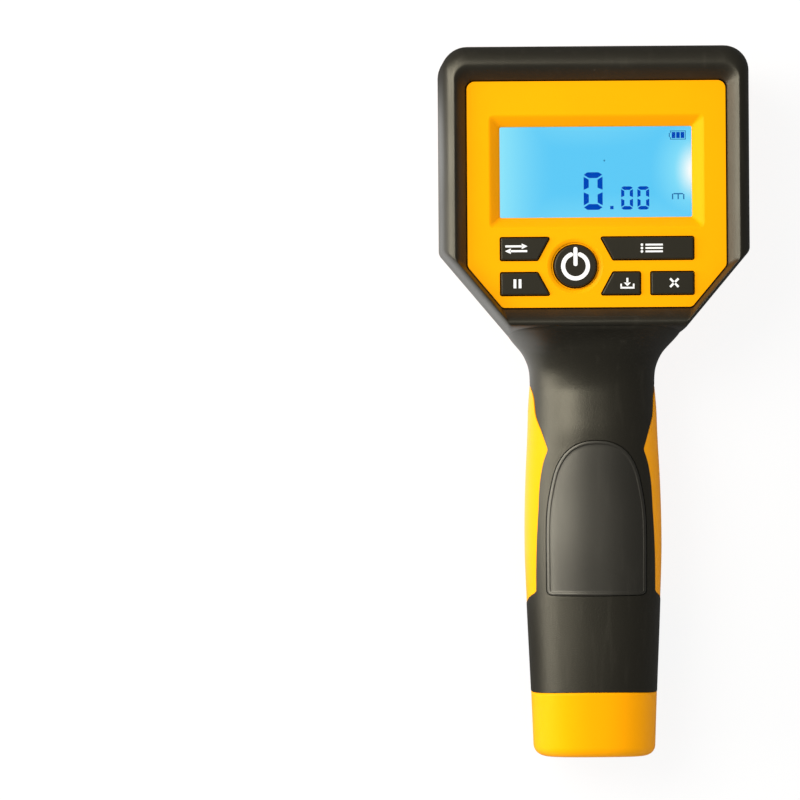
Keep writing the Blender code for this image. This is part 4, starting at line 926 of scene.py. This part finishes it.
class HANDLE_OT_battery_door(bpy.types.Operator):
    """Curved battery door with thumb ribs and its tab"""
    bl_idname = "handle.battery_door"
    bl_label = "Battery door"

    def execute(self, context):
        door = prism("battery_cover", door_outline(0.0, DOOR_TOP_Y), -5 * mm, 16 * mm)
        places = np.linspace(FOOT_Y, TAIL_Y, 150)
        outside = loft("outside", section_points(places, full_turn(160), SHELL_STEP))
        combine(door, outside, "INTERSECT")
        places = np.linspace(FOOT_Y + 1 * mm, TAIL_Y - 1 * mm, 150)
        combine(door, loft("inside", section_points(places, full_turn(160), WALL)))
        for index in range(5):
            y = DOOR_TOP_Y - (4.0 + 2.0 * index) * mm
            groove = box_corners(-6.5 * mm, 6.5 * mm, y - 0.45 * mm, y + 0.45 * mm)
            depth = rear_height(y, 0.0, SHELL_STEP) + 0.5 * mm
            combine(door, prism("groove", rounded_polygon(groove, 0.42 * mm, 6), -5 * mm, depth))
        half = 4.5 * mm
        tip = DOOR_FOOT_Y - 2.1 * mm
        floor = rear_height(tip, half, WALL) + 0.6 * mm
        top = floor + 1.4 * mm
        tab = box_corners(-half, half, tip, DOOR_FOOT_Y + 2.5 * mm)
        combine(door, prism("tab", rounded_polygon(tab, 0.6 * mm, 5), floor, top), "UNION")
        root = box_corners(-half, half, DOOR_FOOT_Y + 0.4 * mm, DOOR_FOOT_Y + 2.5 * mm)
        combine(door, prism("tab_root", root, WALL - 0.2 * mm, top), "UNION")
        sharpen(door, 34)
        finish_piece(door, "door", "shell_yellow", yellow(), "battery_door")
        return {"FINISHED"}


class HANDLE_OT_tail_cap(bpy.types.Operator):
    """Yellow cap at the handle's end, with a rounded foot"""
    bl_idname = "handle.tail_cap"
    bl_label = "Tail cap"

    def execute(self, context):
        top = TAIL_Y - SEAM_GAP / 2
        bend = np.radians(np.linspace(0, 90, 14))[1:]
        straight = np.linspace(top - 0.3 * mm, END_Y + TAIL_ROUND, 26)
        places = np.concatenate([[top, top], straight, END_Y + TAIL_ROUND * (1 - np.sin(bend))])
        shrink = np.concatenate([[3.0 * mm, 0.25 * mm], np.zeros(26), TAIL_ROUND * (1 - np.cos(bend))])
        rings = section_points(places, full_turn(144), SHELL_STEP)
        half = handle_section(places)[0] - SHELL_STEP
        scale = ((half - shrink) / half)[:, None]
        rings[..., 0] *= scale
        rings[..., 2] = (rings[..., 2] - MID_Z) * scale + MID_Z
        cap = sharpen(loft("tail_end_cap", domed(rings)), 50)
        finish_piece(cap, "housing", "shell_yellow", yellow(), "tail_cap")
        return {"FINISHED"}


class HANDLE_OT_palm_pad(bpy.types.Operator):
    """Palm pad with soft edges, let into the grip"""
    bl_idname = "handle.palm_pad"
    bl_label = "Palm pad"

    def execute(self, context):
        rise = context.scene.handle_sizes.pad_rise
        lip = np.array([(0.0, -0.5), (0.0, -0.15), (0.06, 0.0), (0.2, 0.06), (0.75, 0.06), (0.9, 0.01),
                        (1.0, -0.09), (1.08, -0.15), (1.25, -0.18), (1.8, -0.18)]) * mm
        rings = [lifted(pad_outline(-inset), rise + height) for inset, height in lip]
        width, sink = lip[-1]
        inner = pad_outline(-width)
        spine = np.zeros_like(inner)
        spine[:, 1] = np.clip(inner[:, 1], SLEEVE_Y + 14 * mm, WAIST_Y - 9 * mm)
        rings = np.stack(rings + [lifted(inner + (spine - inner) * share, rise + sink)
                                  for share in np.linspace(0, 1, 33)[1:]])
        rows, columns = rings.shape[:2]
        under = rings.copy()
        floor = section_height(rings[..., 1].ravel(), rings[..., 0].ravel(), 0.7 * mm)
        under[..., 2] = np.minimum(under[..., 2] - 0.05 * mm, floor.reshape(rows, columns))
        top = grid_faces(rows, columns, around=True)
        rim = np.arange(columns)
        after = np.roll(rim, -1)
        below = rows * columns
        wall = np.stack([rim, rim + below, after + below, after], axis=-1)
        pad = make_mesh("grip_pad", np.stack([rings, under]), [*top, *(top[:, ::-1] + below), *wall])
        sharpen(outward(pad), 50)
        finish_piece(pad, "housing", "bumper_rubber", pad_rubber(), "palm_pad")
        return {"FINISHED"}


# Faceplate and keys

class HANDLE_OT_faceplate(bpy.types.Operator):
    """Yellow faceplate with the sloped window and the keys' holes"""
    bl_idname = "handle.faceplate"
    bl_label = "Faceplate"

    def execute(self, context):
        sizes = context.scene.handle_sizes
        insets = (8.7, 12.0, 3.4, 9.0, 2.5)
        plate = loft("face_panel", head_rings([(PLATE_BACK_Z / mm, *insets), (FACE_Z / mm, *insets)]))
        flare = 2 * sizes.window_flare / mm
        funnel = cut_corners([
            (42.9, 0.0, 0.5), (43.35, 0.0, 0.5), (43.7, 0.3, 0.5),
            (46.1, flare * 0.86, 1.0), (46.52, flare * 1.12, 1.6), (46.6, flare * 1.5, 2.4)], 2)
        combine(plate, loft("funnel", rectangle_rings(funnel, WINDOW_SIZE, WINDOW_Y, 8)))
        dish = cut_corners([(7.3, 45.6), (7.4, 45.95), (7.9, 46.2), (8.7, 46.52), (9.6, 46.62)], 2) * mm
        combine(plate, loft("dish", turned_rings(dish, POWER_KEY_PLACE, 96)))
        for name in KEY_NAMES:
            combine(plate, prism("key_hole", key_outline(name, 0.35 * mm), 42 * mm, 48 * mm))
        outward(plate)
        modified(plate, "BEVEL", width=sizes.edge_radius, segments=2, limit_method="ANGLE",
                 angle_limit=math.radians(50), harden_normals=False)
        sharpen(plate, 60)
        modified(plate, "WEIGHTED_NORMAL", keep_sharp=True, weight=90)
        finish_piece(plate, "housing", "shell_yellow", yellow(), "faceplate")
        return {"FINISHED"}


class HANDLE_OT_keys(bpy.types.Operator):
    """Black keys with rounded tops, each riding on its own body"""
    bl_idname = "handle.keys"
    bl_label = "Keys"

    def execute(self, context):
        crown = context.scene.handle_sizes.key_crown
        profile = cut_corners([
            (KEY_FOOT_Z, 0.0), (46.2 * mm, 0.0), (KEY_TOP_Z - 0.35 * crown, -0.04 * mm),
            (KEY_TOP_Z, -0.8 * crown), (KEY_TOP_Z, -1.6 * crown)])
        for name in KEY_NAMES:
            outlines = np.stack([key_outline(name, margin) for margin in profile[:, 1]])
            cap = loft("cap", raised(outlines, profile[:, 0]))
            flange = prism("flange", key_outline(name, 0.7 * mm), KEY_FOOT_Z, KEY_FOOT_Z + 1 * mm)
            key = sharpen(join_pieces(f"{name}_cap", [cap, flange]), 40)
            finish_piece(key, f"{name}_button", "key_black", key_plastic(), f"{name}_key")
        return {"FINISHED"}


# Flat marks, in millimetres

def flat_solid(name, polygons, low, high):
    """Thin closed prisms from a list of polygons (k, 2) in mm, as one piece."""
    made = join_pieces(name, [prism("part", polygon * mm, low, high) for polygon in polygons])
    outward(made)
    made.data.shade_flat()
    return made


def placed(polygons, place):
    """Polygons moved to a place."""
    return [polygon + place for polygon in polygons]


def bar(start, end, width):
    """Rectangle round the line from start to end."""
    start, end = np.array([start, end], dtype=float)
    along = unit(end - start)
    aside = np.array([-along[1], along[0]]) * width / 2
    return np.array([start - aside, end - aside, end + aside, start + aside])


def round_bar(foot, top, width):
    """Upright bar between two heights, with half-round ends."""
    arc = directions(np.radians(np.linspace(0, 180, 12))) * width / 2
    return np.concatenate([(0, top) + arc, (0, foot) - arc])


def round_band(radius, width, start, end):
    """Band of a width along an arc, from a start to an end angle in degrees, with round ends."""
    angles = np.radians(np.linspace(start, end, 80))
    ring = directions(angles)
    bend = np.radians(np.linspace(0, 180, 11))[1:-1]
    last = ring[-1] * radius + directions(angles[-1] + bend) * width / 2
    first = ring[0] * radius + directions(angles[0] + np.pi + bend) * width / 2
    return np.concatenate([ring * (radius + width / 2), last, (ring * (radius - width / 2))[::-1], first])


def disc(centre, radius, steps):
    """Round dot of a number of steps."""
    return directions(full_turn(steps, 0.0)) * radius + centre


def key_marks():
    """White pictograms: swap arrows, pause, list, tray, cross and power sign."""
    arrow = [bar((-3.4, 0.75), (1.9, 0.75), 0.62), np.array([(1.7, -0.1), (3.5, 0.75), (1.7, 1.6)])]
    lines = [shape for y in (-1.05, 0.0, 1.05)
             for shape in (bar((-2.0, y), (3.4, y), 0.55), disc((-3.1, y), 0.4, 16))]
    tray = [bar((0, 1.6), (0, -0.1), 0.6), np.array([(-1.1, 0.15), (0, -0.95), (1.1, 0.15)]),
            bar((-2.2, -1.45), (2.2, -1.45), 0.55)]
    tray += [bar((x, -1.3), (x, -0.2), 0.5) for x in (-1.95, 1.95)]
    return {
        "units": placed(arrow + [shape * -1 for shape in arrow], (-25.2, 48.4)),
        "hold": placed([bar((x, -1.4), (x, 1.4), 0.85) for x in (-0.8, 0.8)], (-24.9, 37.5)),
        "memory": placed(lines, (17.0, 48.35)),
        "save": placed(tray, (9.3, 37.5)),
        "clear": placed([bar((-1.3, y), (1.3, -y), 0.66) for y in (-1.3, 1.3)], (23.9, 37.5)),
        "power": placed([round_band(3.85, 1.3, 90 + 21, 450 - 21), round_bar(0.62, 5.3, 1.25)],
                        np.array(POWER_KEY_PLACE) / mm),
    }


class HANDLE_OT_key_marks(bpy.types.Operator):
    """White marks printed on the keys"""
    bl_idname = "handle.key_marks"
    bl_label = "Key marks"

    def execute(self, context):
        ink = moulded("White ink", context.scene.handle_colours.marks, 0.5, size=0.5, depth=0.05,
                      patches=0.04, marks=0.1, worn=(0.6, 0.6, 0.58))
        low = KEY_TOP_Z - 0.01 * mm
        high = low + context.scene.handle_sizes.mark_thickness
        for name, polygons in key_marks().items():
            made = flat_solid(f"{name}_mark", polygons, low, high)
            finish_piece(made, f"{name}_button", "inner_white", ink)
        return {"FINISHED"}


# Screen

BATTERY_PLACE = (23.4, 83.2)
UNIT_PLACE = (24.3, 63.85)


def digit_zero(place, size):
    """Six segments of a nought from its lower left corner: the top and upper left ones are given
    as shares of its width and height, and the others are their mirror images."""
    top = np.array([(0.01, 0.934), (0.2, 1.0), (0.79, 1.0), (0.985, 0.934), (0.72, 0.846), (0.275, 0.846)])
    side = np.array([(0.0, 0.882), (0.27, 0.805), (0.27, 0.592), (0.0, 0.532)])
    segments = [top, side, side * (-1, 1) + (1, 0)]
    segments += [segment * (1, -1) + (0, 1) for segment in segments]
    return placed([segment * size for segment in segments], place)


def screen_marks():
    """Digits, point and the battery sign's bars."""
    bars = [box_corners(x, x + 1.15, 0.0, 1.9) for x in (0.75, 2.15, 3.55)]
    return [*digit_zero((-3.6, 60.85), (5.95, 11.8)), box_corners(4.7, 5.75, 61.0, 62.05),
            *digit_zero((8.15, 60.85), (3.72, 7.3)), *digit_zero((13.25, 60.85), (3.72, 7.3)),
            *placed(bars, BATTERY_PLACE)]


def faint_marks():
    """Battery outline, unit sign and a speck, paler than the digits."""
    outline = [bar((0.25, y), (5.15, y), 0.22) for y in (-0.35, 2.25)]
    outline += [bar((x, low), (x, high), 0.22)
                for x, low, high in ((5.05, -0.3, 2.2), (0.35, -0.3, 0.3), (0.35, 1.6, 2.2))]
    outline.append(bar((0, 0.3), (0, 1.6), 0.3))
    unit_sign = [bar((x, 0.15), (x, top), 0.4) for x, top in ((0.0, 1.9), (1.75, 1.75), (3.5, 1.75))]
    unit_sign.append(bar((0.3, 1.9), (3.3, 1.9), 0.4))
    speck = disc((2.95, 76.3), 0.28, 12)
    return [*placed(outline, BATTERY_PLACE), *placed(unit_sign, UNIT_PLACE), speck]


def falloff(tree, place, centre, size, power, strength):
    """Mask over an ellipse of half widths size, in mm: strength * (1 - distance) ** power."""
    shift = add_node(tree, "Mapping", {
        "Vector": place, "Location": (-centre[0] / size[0], -centre[1] / size[1], -40 * mm),
        "Scale": (1 / (size[0] * mm), 1 / (size[1] * mm), 1.0)})
    reach = add_node(tree, "VectorMath", {0: shift.outputs["Vector"]}, operation="LENGTH")
    near = maths(tree, "SUBTRACT", 1.0, reach.outputs["Value"], clamp=True)
    return maths(tree, "MULTIPLY", maths(tree, "POWER", near, power), strength, clamp=True)


def glow_group():
    """Backlight over the screen: a white glow at the lamp, paler left edge and corners."""
    group, given, out = new_group("Backlight glow", {
        "Screen": (0.1, 0.6, 0.95, 1.0), "Pale": (0.3, 0.8, 1.0, 1.0), "Lamp": (1.0, 1.0, 0.95, 1.0)},
        {"Color": "NodeSocketColor"})
    place = object_place(group)
    left = falloff(group, place, (-34.0, 72.5), (21.0, 120.0), 1.5, 1.25)
    top = falloff(group, place, (-4.0, 89.0), (30.0, 9.0), 1.0, 0.35)
    foot = falloff(group, place, (0.0, 55.5), (50.0, 11.0), 1.0, 0.4)
    haze = falloff(group, place, (31.2, 73.5), (14.0, 17.0), 1.2, 1.2)
    lamp = falloff(group, place, (31.2, 73.2), (6.8, 10.5), 1.7, 1.5)
    pale = highest(group, left, top, foot, haze)
    mixed = mix_colour(group, pale, given["Screen"], given["Pale"])
    wire(group, out, {"Color": mix_colour(group, lamp, mixed, given["Lamp"])})
    return group


class HANDLE_OT_screen(bpy.types.Operator):
    """Lit screen with its figures, under the window"""
    bl_idname = "handle.screen"
    bl_label = "Screen"

    def execute(self, context):
        colours = context.scene.handle_colours
        low, high = (np.array(corner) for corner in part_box("lcd_panel"))
        table = cut_corners([(37.9, -0.6, 0.3), (37.9, -0.2, 0.4), (38.2, 0.0, 0.5), (39.8, 0.0, 0.5),
                             (40.1, -0.2, 0.4), (40.1, -0.6, 0.3)], 2)
        rings = rectangle_rings(table, high[:2] - low[:2], (low[1] + high[1]) / 2, 5)
        panel = sharpen(loft("screen_panel", rings), 50)
        material, tree, inputs = lit_material("Lit screen", colours.screen, roughness=0.3)
        glow = add_node(tree, "Group", {
            "Screen": colours.screen, "Pale": (0.30, 0.82, 0.97), "Lamp": (1.0, 1.0, 0.97)},
            node_tree=glow_group())
        wire(tree, inputs, {"Emission Color": glow.outputs["Color"]})
        finish_piece(panel, "housing", "screen_blue", material, "lcd_panel")
        figures = lit_material("Screen figures", colours.digits)[0]
        pale_figures = lit_material("Pale screen figures", (0.02, 0.17, 0.42), strength=0.95)[0]
        for name, marks, ink in (("screen_digits", screen_marks(), figures),
                                 ("screen_signs", faint_marks(), pale_figures)):
            made = flat_solid(name, marks, LCD_TOP_Z - 0.01 * mm, LCD_TOP_Z + 0.03 * mm)
            finish_piece(made, "housing", "screen_blue", ink)
        return {"FINISHED"}


class HANDLE_OT_window(bpy.types.Operator):
    """Clear window and the gasket behind it"""
    bl_idname = "handle.window"
    bl_label = "Window"

    def execute(self, context):
        table = cut_corners([(41.5, -0.8, 0.6), (41.5, -0.3, 0.6), (41.75, 0.0, 0.8), (42.75, 0.0, 0.8),
                             (43.0, -0.3, 0.6), (43.0, -0.8, 0.6)], 2)
        pane = sharpen(loft("window_pane", rectangle_rings(table, PANE_SIZE, WINDOW_Y, 6)), 50)
        material, tree, inputs = base_material("Clear window", 0.03)
        wire(tree, inputs, {"Transmission Weight": 1.0, "IOR": 1.12, "Base Color": (0.97, 0.99, 1.0)})
        finish_piece(pane, "housing", "window_clear", material, "display_window")
        paint([frame["nodes"]["window_gasket"]], rubber())
        return {"FINISHED"}


class HANDLE_OT_inner_parts(bpy.types.Operator):
    """Finishes of the parts behind the shells, which keep their solids' shapes"""
    bl_idname = "handle.inner_parts"
    bl_label = "Inner parts"

    def execute(self, context):
        nodes = frame["nodes"]
        black = [n for n in nodes if n.endswith(("_switch", "_plunger"))]
        black += ["controller_chip", "sensor_jack", "pole_socket", "battery_tray"]
        plated = [n for n in nodes if "screw" in n or n.startswith("spring") or n.endswith("_contact")]
        white = moulded("White diffuser", (0.8, 0.8, 0.78), 0.4, size=0.6, depth=0.05, patches=0.02,
                        marks=0.05)
        for names, material in (
                (black, black_plastic()),
                (plated, steel()),
                (["contact_strip"], moulded("Contact rubber", (0.05, 0.05, 0.055), 0.6, depth=0.2)),
                (["light_guide", "backlight_led"], white),
                (["main_board"], board_green()),
                (["battery_1", "battery_2"], cell_wrap()),
                (["red_lead"], moulded("Red insulation", (0.5, 0.02, 0.02), 0.45, depth=0.1)),
                (["black_lead"], moulded("Black insulation", (0.02, 0.02, 0.02), 0.45, depth=0.1))):
            paint([nodes[name] for name in names], material)
        return {"FINISHED"}


# Stage

class HANDLE_OT_stage(bpy.types.Operator):
    """Pale floor, soft studio lights and the camera over the handle"""
    bl_idname = "handle.stage"
    bl_label = "Stage"

    def execute(self, context):
        scene = context.scene
        scene.view_settings.view_transform = "Standard"
        square = box_corners(-FLOOR_REACH, FLOOR_REACH, -FLOOR_REACH, FLOOR_REACH)
        floor = make_mesh("floor", raised(square, FLOOR_Z), [range(4)])
        paint([floor], floor_material(scene.handle_colours.floor))
        studio_light("key_light", place=(-0.42, 0.26, 0.69), size=0.42, power=5.3)
        studio_light("side_light", place=(-0.80, 0.10, 0.26), size=0.60, power=6.8)
        set_world()
        view = bpy.data.cameras.new("camera")
        view.lens = CAMERA_LENS
        view.sensor_width = 36.0
        view.clip_end = 10.0
        camera = bpy.data.objects.new("camera", view)
        camera.location = CAMERA_PLACE
        camera.rotation_euler = (0.0, 0.0, math.radians(CAMERA_LEAN))
        scene.collection.objects.link(camera)
        scene.camera = camera
        return {"FINISHED"}


def studio_light(name, place, size, power):
    """Square area light at place, turned to the handle's middle."""
    light = bpy.data.lights.new(name, "AREA")
    light.size = size
    light.energy = power
    light.color = WARM_LIGHT
    item = bpy.data.objects.new(name, light)
    item.location = place
    x, y, z = unit(np.array(place))
    item.rotation_euler = (math.acos(z), 0.0, math.atan2(x, -y))
    bpy.context.scene.collection.objects.link(item)


def floor_material(colour):
    """Pale floor: mostly plain white to the camera, with some of its shaded colour left in, and in
    reflections a painted pool of light, white on its left side from the sleeve to the head's top, with
    painted shade, dim, elsewhere.

    The lit part fades over 1 / 60 m at its right edge and its top, and over 1 / 40 m at its foot.
    """
    material, tree, inputs = base_material("Pale floor", 0.9)
    wire(tree, inputs, {"Base Color": colour})
    rays = add_node(tree, "LightPath", {}).outputs
    clear = highest(tree, rays["Is Camera Ray"], rays["Is Transmission Ray"])
    place = add_node(tree, "SeparateXYZ", {"Vector": object_place(tree)}).outputs
    left = maths(tree, "MULTIPLY", place["X"], -60.0, clamp=True)
    below = maths(tree, "SUBTRACT", FLOOR_LIT_TOP_Y, place["Y"])
    above = maths(tree, "SUBTRACT", place["Y"], FLOOR_LIT_FOOT_Y)
    # Painted pool of light, seen only in reflections: the floor gives off white here and a dim glow,
    # painted shade, elsewhere
    lit = maths(tree, "MULTIPLY", left, maths(tree, "MULTIPLY", below, 60.0, clamp=True))
    lit = maths(tree, "MULTIPLY", lit, maths(tree, "MULTIPLY", above, 40.0, clamp=True))
    glow = add_node(tree, "Emission", {"Strength": highest(tree, clear, lit, FLOOR_MIRRORED)}).outputs[0]
    share = highest(tree, maths(tree, "MULTIPLY", clear, FLOOR_WHITENESS), rays["Is Glossy Ray"])
    plain = tree.nodes["Principled BSDF"].outputs[0]
    mix = add_node(tree, "MixShader", {0: share, 1: plain, 2: glow}).outputs[0]
    wire(tree, tree.nodes["Material Output"].inputs, {"Surface": mix})
    return material


def set_world():
    """White to the camera, and a soft plain light on everything else."""
    world = bpy.data.worlds.new("studio")
    bpy.context.scene.world = world
    world.use_nodes = True
    tree = world.node_tree
    rays = add_node(tree, "LightPath", {}).outputs
    plain = maths(tree, "MULTIPLY", rays["Is Diffuse Ray"], WORLD_LEVEL)
    mirrored = maths(tree, "MULTIPLY", rays["Is Glossy Ray"], WORLD_MIRRORED)
    strength = highest(tree, rays["Is Camera Ray"], rays["Is Transmission Ray"], plain, mirrored)
    wire(tree, tree.nodes["Background"].inputs, {"Color": (1.0, 1.0, 1.0), "Strength": strength})


class HANDLE_PT_panel(bpy.types.Panel):
    """Sidebar panel with the handle's sizes, colours and pieces"""
    bl_label = "Display handle"
    bl_idname = "HANDLE_PT_panel"
    bl_space_type = "VIEW_3D"
    bl_region_type = "UI"
    bl_category = "Handle"

    def draw(self, context):
        """Lists the sizes, the colours and the pieces."""
        layout = self.layout
        for group in (context.scene.handle_sizes, context.scene.handle_colours):
            box = layout.box()
            for name in group.__annotations__:
                box.prop(group, name)
        for piece in PIECES:
            layout.operator(piece.bl_idname)


PIECES = (
    HANDLE_OT_stage, HANDLE_OT_bumper, HANDLE_OT_grip, HANDLE_OT_back_shell, HANDLE_OT_tail_cap,
    HANDLE_OT_palm_pad, HANDLE_OT_faceplate, HANDLE_OT_keys, HANDLE_OT_key_marks, HANDLE_OT_screen,
    HANDLE_OT_window, HANDLE_OT_battery_door, HANDLE_OT_inner_parts,
)
CLASSES = (HandleSizes, HandleColours, *PIECES, HANDLE_PT_panel)


def register():
    """Makes the operators, the panel and the scene's sizes and colours known to Blender."""
    for item in CLASSES:
        bpy.utils.register_class(item)
    bpy.types.Scene.handle_sizes = PointerProperty(type=HandleSizes)
    bpy.types.Scene.handle_colours = PointerProperty(type=HandleColours)


def unregister():
    """Takes back what register gave."""
    del bpy.types.Scene.handle_colours
    del bpy.types.Scene.handle_sizes
    for item in reversed(CLASSES):
        bpy.utils.unregister_class(item)


def main():
    """Makes every piece in order."""
    register()
    for piece in PIECES:
        group, name = piece.bl_idname.split(".")
        getattr(getattr(bpy.ops, group), name)()


if __name__ == "__main__":
    main()
